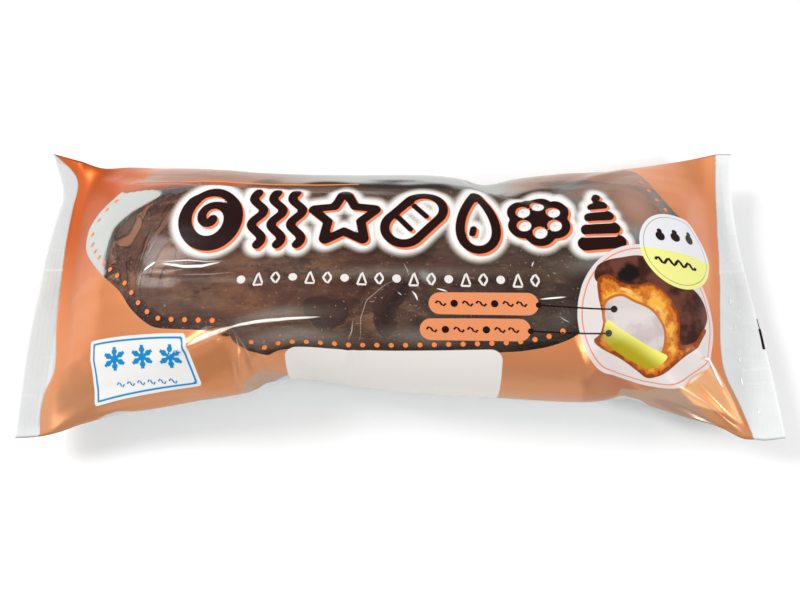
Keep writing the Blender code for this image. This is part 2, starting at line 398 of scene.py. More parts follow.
# %% Outlines of the print and the window
LEFT_PRINT_EDGE = [
    (-HALF_SEAL, -104.7), (-40, -105.4), (-33, -105.2), (-26, -103.4), (-13, -104.9), (6, -105.4),
    (30, -106.3), (40, -105.6), (HALF_SEAL, -111.2),
]
RIGHT_PRINT_EDGE = [
    (-HALF_SEAL, 102.5), (-37, 98.6), (-31, 95.0), (-25, 93.2), (-11, 94.2), (0, 96.5),
    (21, 100.2), (36, 102.1), (HALF_SEAL, 103.6),
]
PRINT_UNDER_EDGE = 50.0
WINDOW = [
    (-96.4, 15.5), (-94.8, 8.6), (-87.6, -0.8), (-79.3, -8.8), (-75.0, -14.7), (-70.3, -19.2),
    (-65.8, -21.2), (-54.2, -22.0), (-47.6, -23.0), (-44.8, -26.9), (-38.4, -31.6), (-32.4, -31.6),
    (-13, -30.8), (12, -29.4), (28.0, -28.4), (35.3, -27.5), (43.4, -25.3), (54.3, -19.5),
    (75, -10), (86, -2), (88.6, 3), (87.6, 9.2), (84.6, 12.6), (80.1, 19.2), (76.4, 26.5),
    (74.0, 34.5), (70, 39.0), (50, 40.0), (20, 40.0), (-24, 40.0), (-60, 40.0), (-76, 39.0),
    (-80.2, 35.0), (-81.6, 31.4), (-87.4, 28.2), (-93.6, 23.3),
]
print("the window is drawn with", len(WINDOW), "points")

# %% Distances from simple shapes
def polygon_distance(u, v, corners):
    """Distance to a polygon's outline, negative inside it."""
    away = np.full(u.shape, FAR)
    within = np.zeros(u.shape, bool)
    for start, end in zip(corners, corners[1:] + corners[:1]):
        away = np.minimum(away, from_segment(u, v, start, end)[0])
        if start[1] != end[1]:
            at = start[0] + (v - start[1]) / (end[1] - start[1]) * (end[0] - start[0])
            within ^= ((start[1] > v) != (end[1] > v)) & (u < at)
    return np.where(within, -away, away)


def smooth_closed(corners, steps=6):
    """A closed curve through the corners, with several points between each two."""
    n = len(corners)
    curve = []
    for k in range(n):
        p0, p1, p2, p3 = (np.array(corners[(k + d) % n], float) for d in (-1, 0, 1, 2))
        for i in range(steps):
            t = i / steps
            curve.append(tuple(0.5 * (
                2 * p1 + (p2 - p0) * t + (2 * p0 - 5 * p1 + 4 * p2 - p3) * t**2
                + (3 * p1 - p0 - 3 * p2 + p3) * t**3
            )))
    return curve


def disc_distance(u, v, centre, radius):
    """Distance to a disc."""
    return np.hypot(u - centre[0], v - centre[1]) - radius


def bar_distance(u, v, start, end, radius):
    """Distance to a bar with round ends."""
    return from_segment(u, v, start, end)[0] - radius


def stroke_distance(u, v, points, radius):
    """Distance to a line drawn with a round pen."""
    return np.min([bar_distance(u, v, a, b, radius) for a, b in zip(points, points[1:])], axis=0)


# %% The edges of the print and the window on the film
def on_film(name, field):
    """Keeps a field of the flat sheet on the film's vertices."""
    store(wrap, name, field[WRAP_I, WRAP_J])


FLAT = (FLAT_U, FLAT_V)
WINDOW_CURVE = smooth_closed(WINDOW)
window = polygon_distance(*FLAT, WINDOW_CURVE)
ends = np.minimum(
    FLAT_U - along(LEFT_PRINT_EDGE, FLAT_V), along(RIGHT_PRINT_EDGE, FLAT_V) - FLAT_U
)
printed = np.minimum(np.minimum(window, ends), PRINT_UNDER_EDGE - np.abs(FLAT_V))
on_film("printed", -printed)
on_film("seal", -ends)
print("the window is", int((window < 0).sum()), "points of the film")

# %% The white panel, the disc, the badge, the pills and the label
PANEL_SIDES = (-32.0, 28.0)
PANEL_TOP = (-30.9, -27.5)
PANEL_BOTTOM = -56.0
PANEL_CORNER = 3.4
DISC_CENTRE, DISC_RADIUS = (69.3, -17.5), 21.2
BADGE_CENTRE, BADGE_RADIUS = (79.3, 3.8), 12.0
PILLS = [((10.8, -15.2), (34.6, -15.0)), ((8.4, -22.5), (32.4, -22.1))]
PILL_RADIUS = 3.05
LABEL = [(-88.6, -22.3), (-58.4, -22.7), (-55.2, -39.0), (-87.5, -42.1)]
LABEL_MIDDLE = (-70.0, -30.0)
LABEL_CORNER = 0.8


def drawn_in(corner, middle, by):
    """A corner moved towards the middle in both directions."""
    return tuple(c - math.copysign(by, c - m) for c, m in zip(corner, middle))


across = np.maximum(PANEL_SIDES[0] - FLAT_U, FLAT_U - PANEL_SIDES[1]) + PANEL_CORNER
panel_top = np.interp(FLAT_U, PANEL_SIDES, PANEL_TOP)
up = np.maximum(FLAT_V - panel_top, PANEL_BOTTOM - FLAT_V) + PANEL_CORNER
panel = np.hypot(np.maximum(across, 0), np.maximum(up, 0)) - PANEL_CORNER
panel += np.minimum(np.maximum(across, up), 0)
label_core = [drawn_in(corner, LABEL_MIDDLE, LABEL_CORNER) for corner in LABEL]
inks = {
    "panel": panel,
    "disc": disc_distance(*FLAT, DISC_CENTRE, DISC_RADIUS),
    "badge": disc_distance(*FLAT, BADGE_CENTRE, BADGE_RADIUS),
    "pills": np.min([bar_distance(*FLAT, a, b, PILL_RADIUS) for a, b in PILLS], axis=0),
    "label": polygon_distance(*FLAT, label_core) - LABEL_CORNER,
}
for name, distance in inks.items():
    on_film(name, distance)
print("print fields:", ", ".join(inks))

# %% [markdown]
# ### Facets of the copper ink
# Metallic ink takes its tone from what it faces, so flat facets between two creases differ from
# their neighbours. Here those tones are painted into the ink: a painted dull reflection where a
# facet faces the table, painted shade in and beside a fold, a painted highlight at the corner by
# the window, and painted shade in a small dark hollow under the knot of creases. In three places
# at the lower edge the unprinted back of the pack comes round as a pale sliver. They are outlines
# on the sheet as well.

# %% Facets of painted reflection, shade and highlight, and the hollow's painted shade
FACETS = {
    "facet_painted_dull_reflection": [
        [(63, -42.5), (67.2, -41.0), (78.0, -36.9), (83.9, -41.2), (92.7, -46.2), (92, -52),
         (68, -52), (62, -47)],
        [(-39.8, -38.8), (-32.4, -43.5), (-33, -52), (-40.8, -53.9), (-43.9, -49.9), (-44, -40.7)],
    ],
    "facet_painted_fold_shade": [
        [(54, -32.4), (50, -35.7), (51, -38.9), (52.6, -50), (64, -46), (67.3, -41.4), (60.5, -35.0)],
    ],
    "facet_painted_deep_shade": [
        [(-57, -30), (-47, -25), (-46, -33), (-46, -45), (-55, -45)],
        [(96.0, -38.5), (100.5, -46.5), (104, -48), (99.5, -39)],
    ],
    "facet_painted_hollow_shade": [
        [(-50.2, -23.6), (-47.7, -22.8), (-45.4, -22.4), (-44.6, -23.8), (-47, -24.5)],
    ],
    "facet_painted_highlight": [
        [(78.0, -37.0), (85.0, -31.5), (87.3, -27.0), (90.1, -29.1), (95.3, -35.4), (99.5, -43.4),
         (93.8, -41.4), (84, -41)],
    ],
    "facet_pale": [
        [(-91.5, -48.0), (-88.7, -46.8), (-85.0, -45.8), (-81.8, -45.5), (-78.0, -46.3),
         (-73, -48.6), (-71, -53), (-91, -53)],
        [(-39.6, -53), (-36.4, -50.2), (-32.8, -44.9), (-28.2, -46.6), (-28, -53)],
        [(62.0, -47.8), (65.5, -46.2), (68.5, -45.2), (71.0, -46.2), (74, -50), (74, -53), (62, -53)],
    ],
}
for name, outlines in FACETS.items():
    on_film(name, np.min([polygon_distance(*FLAT, corners) for corners in outlines], axis=0))
print("facets:", {name: len(outlines) for name, outlines in FACETS.items()})

# %% [markdown]
# ### Haze on the window
# The clear film isn't evenly clear. On the slope behind the title a painted reflection makes it
# milky, pink on the left and right and grey in the middle, and beside the eclair's left end
# painted light makes it milky white. A fold lays a thin orange veil on the top left corner, and
# pale smears lie in a few places. These are soft fields too.

# %% Where the painted reflection and light, the smears and the veil lie
FOLD_LINE = [(-81.0, 31.2), (-68, 29.2), (-54.8, 27.6), (-40, 26.4), (-23.9, 25.6), (-12, 25.8)]
FOLD_LOWER = [
    (-110, 36), (-90.8, 34.5), (-84, 28.0), (-72, 24.6), (-58.4, 23.2), (-25.8, 21.4), (0, 21),
]
BESIDE_ECLAIR = [
    (-102, 14), (-97, 25), (-89, 31), (-80, 28.5), (-72, 24.5), (-70.4, 22.0), (-74.2, 19.2),
    (-79.2, 16.8), (-82.8, 13.8), (-84.8, 10.0), (-85.7, 6.0), (-85.8, 1.0), (-85.2, -3.0),
    (-91, -4.0), (-98, 3),
]
SMEARS = [
    # middle u and v, half length, half width, turn in degrees, strength
    (68.0, 18.0, 9.0, 14.0, 20, 0.62),
    (58.0, 22.0, 12.0, 5.0, 12, 0.50),
    (58.0, -2.0, 16.0, 3.5, 10, 0.16),
    (-58.0, -3.6, 13.0, 1.2, 0, 0.10),
    (-48.0, -8.4, 20.0, 1.0, -4, 0.12),
    (-60.0, -14.5, 12.0, 5.0, -12, 0.06),
    (-34.0, -19.5, 14.0, 2.4, 3, 0.16),
    (-30.0, -26.5, 20.0, 3.5, 0, 0.16),
    (6.0, -24.5, 14.0, 3.0, 2, 0.14),
    (44.0, -19.0, 9.0, 4.0, 25, 0.08),
    (-78.0, 12.0, 5.0, 8.0, 15, 0.08),
    (-2.0, -6.5, 30.0, 2.0, 1, 0.12),
    (7.0, -7.6, 2.6, 1.4, -40, 0.30),
]
# Painted reflection on the slope behind the title, and painted light beside the eclair's left end.
SLOPE_PAINTED_REFLECTION, BESIDE_PAINTED_LIGHT = 0.60, 0.62
SLOPE_FROM, SLOPE_FULL = 24.5, 28.5
BACK_FULL, BACK_GONE = 40.0, 54.0
MIST_WANDER = 5.0
MIST_ALONG = [(-88, 0), (-80, 1.0), (-8, 1.0), (72, 0.9), (88, 0.6)]
BLUSH_ALONG = [(-60, 1), (-40, 0.8), (-14, 0), (28, 0), (38, 0.8), (60, 1)]
BLUSH_LEFT, BLUSH_RIGHT = (22.0, 28.0), (4.0, 12.0)
VEIL_ALONG = [(-90, 0), (-86, 0.85), (-68, 0.6), (-46, 0.25), (-20, 0.12), (-10, 0)]
print(len(SMEARS), "smears")

# %% Painted reflection and light, their pinkness and the veil on the film
def straight(stations, x):
    """The value at x on straight lines through the stations, each (place, value)."""
    return np.interp(x, *np.array(stations, float).T)


def soft(value, low, high):
    """Goes smoothly from 0 to 1 while value goes from low to high."""
    t = np.clip((value - low) / (high - low), 0, 1)
    return t * t * (3 - 2 * t)


wavy = np.vectorize(lambda u, v: noise.noise((u * 0.07, v * 0.30, 6.0)))(*FLAT)
# Painted reflection: the film is made milky on the slope behind the title.
slope = soft(FLAT_V + MIST_WANDER * wavy, SLOPE_FROM, SLOPE_FULL)
mist_and_painted_light = SLOPE_PAINTED_REFLECTION * slope * soft(FLAT_V, BACK_GONE, BACK_FULL) * straight(MIST_ALONG, FLAT_U)
for middle_u, middle_v, length, width, turn, strength in SMEARS:
    cos, sin = math.cos(math.radians(turn)), math.sin(math.radians(turn))
    du, dv = FLAT_U - middle_u, FLAT_V - middle_v
    spread = ((du * cos + dv * sin) / length) ** 2 + ((dv * cos - du * sin) / width) ** 2
    mist_and_painted_light = np.maximum(mist_and_painted_light, strength * np.exp(-spread))
# Painted light: the window beside the eclair's left end is made milky white.
beside = soft(polygon_distance(*FLAT, smooth_closed(BESIDE_ECLAIR)), 0.5, -0.5)
mist_and_painted_light = np.maximum(mist_and_painted_light, BESIDE_PAINTED_LIGHT * beside)
blush = straight(BLUSH_ALONG, FLAT_U) * (1 - beside)
blush *= np.where(FLAT_U < 0, soft(FLAT_V, *BLUSH_LEFT), soft(FLAT_V, *BLUSH_RIGHT))
fold_line, fold_lower = straight(FOLD_LINE, FLAT_U), straight(FOLD_LOWER, FLAT_U)
veil = soft(FLAT_V, fold_lower - 0.5, fold_lower + 0.7) * straight(VEIL_ALONG, FLAT_U)
veil *= soft(FLAT_V, fold_line + 0.3, fold_line - 0.3)
for name, field in (("mist_and_painted_light", mist_and_painted_light), ("blush", blush), ("veil", veil)):
    on_film(name, field)
    print(name, "up to", field.max().round(2))

# %% [markdown]
# ### The title ornaments
# Seven big dark ornaments stand in a row across the window, with an orange shadow and a soft
# white glow: a roll, steam, a star, a bun, a drop, a flower and a swirl of cream. Each is drawn
# round its own middle from bars, discs and outlines. A distance gives the glow for nothing,
# because the glow is simply wider than the shape.

# %% A roll, steam and a star as distances
LINE = 1.25
WEDGE = 2.4


def ring_of(count, radius, start=math.pi / 2):
    """Points evenly round a circle."""
    angles = start + 2 * math.pi * np.arange(count) / count
    return [(radius * math.cos(a), radius * math.sin(a)) for a in angles]


def roll(u, v):
    """A rolled bun seen from above: a closed ring with a spiral inside that starts on it."""
    wide, high, first = 7.4, 8.8, 2.4
    turns = np.linspace(0, 3.1 * math.pi, 40)
    inner = [
        ((wide - 0.70 * a) * math.cos(a + first), (high - 0.84 * a) * math.sin(a + first))
        for a in turns
    ]
    ring = [(wide * x, high * y) for x, y in ring_of(40, 1.0)]
    inner, ring = stroke_distance(u, v, inner, LINE), stroke_distance(u, v, ring + ring[:1], LINE)
    share = np.clip(0.5 + 0.5 * (ring - inner) / WEDGE, 0, 1)
    return ring * (1 - share) + inner * share - WEDGE * share * (1 - share)


def steam(u, v):
    """Three rising wavy lines."""
    ys = np.linspace(-8.6, 8.6, 24)
    lines = [[(x + 1.5 * math.sin(y * 0.7), y) for y in ys] for x in (-5.2, 0.0, 5.2)]
    return np.min([stroke_distance(u, v, line, LINE) for line in lines], axis=0)


def star(u, v):
    """A five-pointed outline."""
    tips = [p for pair in zip(ring_of(5, 8.4), ring_of(5, 4.1, 0.7 * math.pi)) for p in pair]
    return np.abs(polygon_distance(u, v, tips) - 0.4) - LINE


# %% A bun, a drop, a flower and a swirl of cream as distances
def bun(u, v):
    """A long bun with two slits."""
    loaf = np.abs(bar_distance(u, v, (-2.8, -3.4), (2.8, 2.8), 5.0)) - LINE
    slits = [bar_distance(u, v, (x - 1.4, x + 2.6), (x + 1.8, x - 1.2), 0.8) for x in (-2.8, 1.4)]
    return np.minimum(loaf, np.min(slits, axis=0))


def drop(u, v):
    """A drop with a light in it."""
    turns = np.linspace(0.05, 3.1, 20)
    side = [(6.0 * math.sin(t) * math.sin(t / 2) ** 1.3, 9.8 * math.cos(t)) for t in turns]
    shape = np.abs(polygon_distance(u, v, side + [(-x, y) for x, y in side[::-1]]) - 0.4) - LINE
    return np.minimum(shape, bar_distance(u, v, (-1.6, -5.2), (-1.2, -3.4), 0.9))


def flower(u, v):
    """Six round petals in outline and a full middle."""
    petals = np.min([disc_distance(u, v, place, 3.1) for place in ring_of(6, 4.7)], axis=0)
    return np.minimum(np.abs(petals) - 1.15, np.hypot(u, v) - 1.8)


def cream_swirl(u, v):
    """Piped cream in five tiers, each (height, half width, radius)."""
    tiers = ((-7.4, 4.6, 2.1), (-3.2, 3.6, 1.9), (0.8, 2.5, 1.7), (4.4, 1.4, 1.5), (7.6, 0.3, 1.1))
    shape = np.min([bar_distance(u, v, (-w, y - 0.6), (w, y + 0.6), r) for y, w, r in tiers], axis=0)
    grooves = [bar_distance(u, v, (-w, y + 1.7), (w - 0.6, y + 2.5), 0.5) for y, w, _ in tiers[:3]]
    return np.maximum(shape, -np.min(grooves, axis=0))


ORNAMENTS = (roll, steam, star, bun, drop, flower, cream_swirl)
print("ornaments:", ", ".join(shape.__name__ for shape in ORNAMENTS))

# %% The row of ornaments on the film
ORNAMENT_PLACES = [-53.4, -34.6, -15.6, 4.0, 21.8, 39.0, 56.4]
ORNAMENT_HEIGHT = 11.2
ORNAMENT_SCALE = 1.06
SHADOW_SHIFT = (0.65, -0.75)


def ornaments(u, v):
    """Distance to the nearest of the seven ornaments."""
    return ORNAMENT_SCALE * np.min([
        shape((u - place) / ORNAMENT_SCALE, (v - ORNAMENT_HEIGHT) / ORNAMENT_SCALE)
        for shape, place in zip(ORNAMENTS, ORNAMENT_PLACES)
    ], axis=0)


title = ornaments(*FLAT)
on_film("title", title)
on_film("title_shadow", ornaments(FLAT_U - SHADOW_SHIFT[0], FLAT_V - SHADOW_SHIFT[1]))
print("title covers", int((title < 0).sum()), "points of the film")

# %% [markdown]
# ### The picture in the disc
# A cut eclair in five fields of colour: icing, pastry, cream, custard and one dark crumb of
# icing. Each is a smooth closed outline. The film's material mottles the fields, so that the
# pastry looks baked and the icing looks set.

# %% The cut eclair as fields of colour
PICTURE = {
    "picture_icing": [
        (53.7, -8.2), (54.0, -4.3), (57.0, -2.2), (61.6, -1.0), (67.4, 0.0), (74.4, -2.1),
        (81.7, -6.5), (86.5, -10.0), (88.4, -14.3), (86.6, -18.7), (84.0, -22.0), (79.1, -25.2),
        (74.0, -20.0), (70.0, -14.0), (60.0, -11.0),
    ],
    "picture_pastry": [
        (54.4, -7.3), (57.6, -6.4), (61.0, -8.6), (65.4, -9.0), (69.4, -8.0), (73.4, -9.8),
        (76.8, -13.8), (78.3, -18.5), (78.6, -24.4), (83.7, -22.2), (86.6, -18.2), (87.4, -19.4),
        (83.7, -24.1), (78.6, -29.0), (74.7, -33.0), (69.7, -36.2), (66.0, -34.4), (60.1, -30.0),
        (52.8, -25.0), (54.4, -22.6), (55.2, -19.4), (54.5, -15.2), (53.9, -11.5),
    ],
    "picture_cream": [
        (55.9, -15.2), (57.3, -13.4), (60.7, -12.6), (64.1, -14.2), (68.6, -15.8), (71.5, -18.4),
        (73.2, -22.1), (72.4, -27.6), (68.8, -26.7), (64.1, -24.8), (60.0, -22.1), (56.1, -19.5),
    ],
    "picture_custard": [
        (55.3, -23.1), (56.4, -19.0), (59.4, -21.1), (64.1, -24.1), (68.8, -26.5), (72.4, -27.6),
        (74.6, -28.6), (72.0, -31.7), (68.2, -33.2), (62.2, -30.2), (57.3, -26.2),
    ],
}
CRUMB_CENTRE, CRUMB_RADIUS = (63.4, -5.8), 3.0
for name, corners in PICTURE.items():
    on_film(name, polygon_distance(*FLAT, smooth_closed(corners)))
on_film("picture_crumb", disc_distance(*FLAT, CRUMB_CENTRE, CRUMB_RADIUS))
print("the picture is", len(PICTURE) + 1, "fields of colour")

# %% [markdown]
# ## Materials
# Every material here is built from nodes by a few helpers, so that a finish reads as a short
# list of layers. Colours are given as they look on a screen and turned to linear light.

# %% Colours, nodes and stored numbers
def linear(red, green, blue):
    """A screen colour, 0 to 255, as linear light."""
    def channel(c):
        c /= 255
        return c / 12.92 if c <= 0.04045 else ((c + 0.055) / 1.055) ** 2.4
    return (channel(red), channel(green), channel(blue), 1.0)


def new_material(name):
    """An empty material and its node tree."""
    material = bpy.data.materials.new(name)
    material.use_nodes = True
    material.node_tree.nodes.clear()
    return material, material.node_tree


def add(tree, kind, inputs=(), **settings):
    """A node with its settings and its inputs, each a value or another node's socket."""
    made = tree.nodes.new(kind)
    for name, value in settings.items():
        setattr(made, name, value)
    for name, value in dict(inputs).items():
        if isinstance(value, bpy.types.NodeSocket):
            tree.links.new(value, made.inputs[name])
        else:
            made.inputs[name].default_value = value
    return made


def read(tree, name):
    """A number kept on the mesh."""
    return add(tree, "ShaderNodeAttribute", attribute_name=name).outputs["Fac"]


print("a screen's middle grey is", round(linear(128, 128, 128)[0], 3), "in linear light")

# %% Steps, sums, mixes and noise
def step(tree, value, low, high, bottom=0.0, top=1.0, kind="SMOOTHSTEP"):
    """Goes from bottom to top while value goes from low to high."""
    inputs = {"Value": value, "From Min": low, "From Max": high, "To Min": bottom, "To Max": top}
    return add(tree, "ShaderNodeMapRange", inputs, interpolation_type=kind).outputs["Result"]


def maths(tree, operation, a, b=0.0):
    """One sum, product or the like."""
    return add(tree, "ShaderNodeMath", {0: a, 1: b}, operation=operation).outputs[0]


def mixed(tree, share, a, b):
    """Colour a turning into colour b."""
    made = add(tree, "ShaderNodeMix", data_type="RGBA")
    for socket, value in ((made.inputs[0], share), (made.inputs[6], a), (made.inputs[7], b)):
        if isinstance(value, bpy.types.NodeSocket):
            tree.links.new(value, socket)
        else:
            socket.default_value = value
    return made.outputs[2]


def cloudy(tree, scale, detail=3.0, stretch=(1, 1, 1), roughness=0.55, twist=0.0):
    """Soft noise on the object's own coordinates, in lumps of about 1 / scale metres."""
    place = add(tree, "ShaderNodeTexCoord").outputs["Object"]
    place = add(tree, "ShaderNodeMapping", {"Vector": place, "Scale": stretch}).outputs["Vector"]
    inputs = {"Vector": place, "Scale": scale, "Detail": detail, "Roughness": roughness,
              "Distortion": twist}
    return add(tree, "ShaderNodeTexNoise", inputs).outputs["Fac"]


# %% Relief and plain surfaces
def bump(tree, height, strength, distance):
    """A normal that shows relief."""
    inputs = {"Height": height, "Strength": strength, "Distance": distance}
    return add(tree, "ShaderNodeBump", inputs).outputs["Normal"]


def painted(tree, inputs):
    """The shader of a solid surface."""
    return add(tree, "ShaderNodeBsdfPrincipled", inputs).outputs["BSDF"]


def close(tree, shader):
    """Ends a material with its shader."""
    add(tree, "ShaderNodeOutputMaterial", {"Surface": shader})


def plain_material(name, inputs):
    """A material of one even surface."""
    material, tree = new_material(name)
    close(tree, painted(tree, inputs))
    return material


# %% [markdown]
# ### Film and inks
# Clear film is mostly not there: it lets light through, adds a little white haze, and mirrors
# its surroundings like glass does. Where ink lies on it, it hides what is behind. So one
# shader carries the colour of haze and ink, a second lets light through, the share of cover
# chooses between them, and a gloss goes over both.

# %% Tones of the film and its inks
COPPER, COPPER_DEEP = linear(226, 148, 100), linear(214, 128, 78)
# Painted shade: the copper is deeper on its left end and duller on its lower side.
COPPER_LEFT_PAINTED_SHADE, COPPER_LOW_PAINTED_SHADE = linear(190, 88, 34), linear(196, 136, 96)
# The pink tone is that of the painted reflection on the slope and of pale smears.
HAZE, PINK_PAINTED_REFLECTION_AND_HAZE, DUST = linear(226, 229, 224), linear(204, 157, 134), linear(204, 184, 162)
# The right seal's tone is painted light, whiter than the left seal's.
SEAL_HAZE, SEAL_RIGHT_PAINTED_LIGHT = linear(222, 224, 224), linear(240, 242, 242)
WHITE_BACK = linear(214, 220, 220)
GLOW = linear(242, 240, 238)
VEIL_INK = linear(206, 112, 72)
PAPER = linear(222, 217, 212)
COCOA_INK = linear(32, 6, 4)
SHADOW_INK = linear(232, 128, 88)
PILL_INK = linear(224, 140, 94)
BLUE_INK = linear(8, 132, 196)
DISC_WHITE, DISC_LINE = linear(220, 211, 209), linear(228, 140, 104)
BADGE_WHITE, BADGE_YELLOW = linear(228, 228, 232), linear(236, 235, 142)
BADGE_LINE = linear(120, 112, 70)
LABEL_WHITE = linear(228, 227, 224)
GOLD, GOLD_DEEP = linear(238, 174, 66), linear(192, 98, 24)
RIM, RIM_DARK, CRUMB_LIT = linear(206, 118, 34), linear(142, 62, 16), linear(244, 200, 116)
ICING, ICING_PALE, ICING_CRUMB = linear(56, 26, 18), linear(104, 58, 44), linear(20, 11, 8)
CREAM, CREAM_SHADE, CREAM_EDGE = linear(208, 199, 196), linear(190, 175, 174), linear(186, 104, 44)
CUSTARD_DEEP, CUSTARD = linear(170, 156, 22), linear(240, 236, 112)
# Facet tones: painted reflection, painted shade and a painted highlight, and the pale sliver of unprinted
# film.
FACET_TONES = [
    # name, how soft its edge is in millimetres, tone
    ("facet_painted_fold_shade", 1.4, linear(172, 112, 78)),
    ("facet_painted_dull_reflection", 0.5, linear(174, 146, 128)),
    ("facet_painted_deep_shade", 1.6, linear(196, 128, 82)),
    ("facet_painted_highlight", 0.5, linear(250, 190, 138)),
    ("facet_painted_hollow_shade", 0.3, linear(48, 26, 18)),
    ("facet_pale", 0.3, linear(200, 206, 206)),
]
print(len(FACET_TONES), "facet tones")

# %% [markdown]
# ### From distances to inks
# A distance becomes an ink's share of cover by a steep step where it passes zero. Two steps
# make a line that runs along an outline. Noise added to a distance makes its edge ragged, as
# baked pastry is, and noise on its own turns one tone into another in lumps.

# %% Shares of cover and mottled tones
EDGE = 0.12
FLAT_LUMPS = (1, 1, 0.2)
print("an ink's edge is", 2 * EDGE, "mm soft")


def inside(tree, name, grow=0.0):
    """1 inside a printed shape, 0 outside, with an edge a few tenths of a millimetre soft."""
    return step(tree, read(tree, name), grow + EDGE, grow - EDGE)


def band(tree, name, outer, inner):
    """1 in a line that runs round a shape, between two distances from its outline."""
    return maths(tree, "SUBTRACT", inside(tree, name, outer), inside(tree, name, inner))


def mottled(tree, scale, detail, low, high, first, second, roughness=0.55):
    """A colour that turns into a second one in lumps."""
    lumps = cloudy(tree, scale, detail, FLAT_LUMPS, roughness)
    return mixed(tree, step(tree, lumps, low, high), first, second)


def ragged(tree, name, scale, detail, reach, roughness=0.55):
    """A printed shape's distance, made uneven by noise."""
    lumps = cloudy(tree, scale, detail, FLAT_LUMPS, roughness)
    return maths(tree, "ADD", read(tree, name), maths(tree, "MULTIPLY", lumps, reach))


# %% [markdown]
# ### The inks, from the bottom one up
# A press lays one ink over another, and so does this list: copper first, then the title's
# glow, shadow and body, and so on to the label's frame. The order decides what hides what.

# %% The inks
def copper_ink(tree):
    """The copper of the film, with painted shade on its left end and its lower side, and its facets."""
    copper = mixed(tree, step(tree, cloudy(tree, 14.0, 2.0), 0.35, 0.7), COPPER, COPPER_DEEP)
    # Painted shade: deeper towards the top of the left end, duller on the lower side.
    left = step(tree, read(tree, "flat_u"), -66.0, -92.0)
    high = step(tree, read(tree, "flat_v"), -12.0, 22.0, 0.25, 1.0)
    copper = mixed(tree, maths(tree, "MULTIPLY", left, high), copper, COPPER_LEFT_PAINTED_SHADE)
    copper = mixed(tree, step(tree, read(tree, "flat_v"), -24.0, -38.0), copper, COPPER_LOW_PAINTED_SHADE)
    # Facets: painted reflection, painted shade and a painted highlight, and the pale sliver.
    for name, softness, tone in FACET_TONES:
        facet = step(tree, read(tree, name), softness, -softness, 0.0, 0.9)
        copper = mixed(tree, facet, copper, tone)
    return copper


def pastry_ink(tree):
    """Baked pastry: golden, browner to its rim, and light where it meets the cream."""
    from_rim = ragged(tree, "picture_pastry", 380.0, 5.0, 5.4, 0.7)
    pastry = mottled(tree, 170.0, 5.0, 0.42, 0.58, GOLD, GOLD_DEEP, 0.65)
    pastry = mixed(tree, step(tree, from_rim, -0.2, 1.1), pastry, RIM)
    pastry = mixed(tree, step(tree, from_rim, 1.1, 2.1), pastry, RIM_DARK)
    spots = step(tree, cloudy(tree, 110.0), 0.45, 0.6)
    lit = maths(tree, "MULTIPLY", band(tree, "picture_cream", 2.6, 1.7), spots)
    return mixed(tree, lit, pastry, CRUMB_LIT)


def custard_ink(tree):
    """Custard that is lighter along its upper edge, which is tilted on the sheet."""
    across = maths(tree, "MULTIPLY", read(tree, "flat_u"), 0.52)
    tilted = maths(tree, "ADD", across, maths(tree, "MULTIPLY", read(tree, "flat_v"), 0.85))
    return mixed(tree, step(tree, tilted, 8.6, 14.4), CUSTARD_DEEP, CUSTARD)


# %% The order of the inks
def film_layers(tree):
    """The inks from the bottom one up, as shares of cover and colours."""
    icing = mottled(tree, 130.0, 5.0, 0.42, 0.60, ICING, ICING_PALE)
    cream = mottled(tree, 160.0, 3.0, 0.42, 0.62, CREAM, CREAM_SHADE)
    crumb = step(tree, ragged(tree, "picture_crumb", 200.0, 4.0, 7.0), 4.4, 2.4)
    lower_half = step(tree, read(tree, "flat_v"), 3.1, 2.7)
    return [
        (inside(tree, "printed"), copper_ink(tree)),
        (step(tree, read(tree, "title"), 3.7, 1.0, 0.0, 0.94), GLOW),
        (inside(tree, "title_shadow"), SHADOW_INK),
        (inside(tree, "title"), COCOA_INK),
        (inside(tree, "panel"), PAPER),
        (inside(tree, "pills"), PILL_INK),
        (inside(tree, "disc"), DISC_WHITE),
        (band(tree, "disc", -1.1, -1.5), DISC_LINE),
        (inside(tree, "picture_icing"), icing),
        (inside(tree, "picture_pastry"), pastry_ink(tree)),
        (band(tree, "picture_cream", 0.8, 0.0), CREAM_EDGE),
        (inside(tree, "picture_cream"), cream),
        (inside(tree, "picture_custard"), custard_ink(tree)),
        (crumb, ICING_CRUMB),
        (inside(tree, "badge"), mixed(tree, lower_half, BADGE_WHITE, BADGE_YELLOW)),
        (band(tree, "badge", -1.15, -1.32), BADGE_LINE),
        (inside(tree, "label"), LABEL_WHITE),
        (band(tree, "label", -0.9, -1.5), BLUE_INK),
    ]


# %% [markdown]
# ### Clear film
# Film without ink is nearly clear inside the window, with faint smears and lines. It is milky
# where the painted reflection, the painted light and the smears lie, whiter where the seals join
# two layers, and white under the pack. The inks then go over it, each adding its share to the cover.

# %% The cover and the tone of film without ink
SEAL_COVER, BACK_COVER, SEAM_COVER = 0.68, 0.9, 0.3


def haze_cover(tree, sealed, below):
    """How far film without ink hides what is behind it."""
    smeared = step(tree, cloudy(tree, 30.0, 4.0, (1.0, 2.6, 1.0)), 0.40, 0.78, 0.01, 0.08)
    lines = cloudy(tree, 260.0, 6.0, (0.12, 1.0, 1.0), 0.7)
    cover = maths(tree, "ADD", smeared, step(tree, lines, 0.56, 0.74, 0.0, 0.09))
    cover = maths(tree, "ADD", cover, maths(tree, "MULTIPLY", sealed, SEAL_COVER))
    seam_from = 2 * HALF_SEAL - BACK_SEAM_WIDTH
    seam = step(tree, read(tree, "flat_v"), seam_from, 2 * HALF_SEAL, 0.0, SEAM_COVER)
    cover = maths(tree, "ADD", cover, seam)
    for other in (read(tree, "mist_and_painted_light"), maths(tree, "MULTIPLY", below, BACK_COVER), read(tree, "veil")):
        cover = maths(tree, "MAXIMUM", cover, other)
    return cover


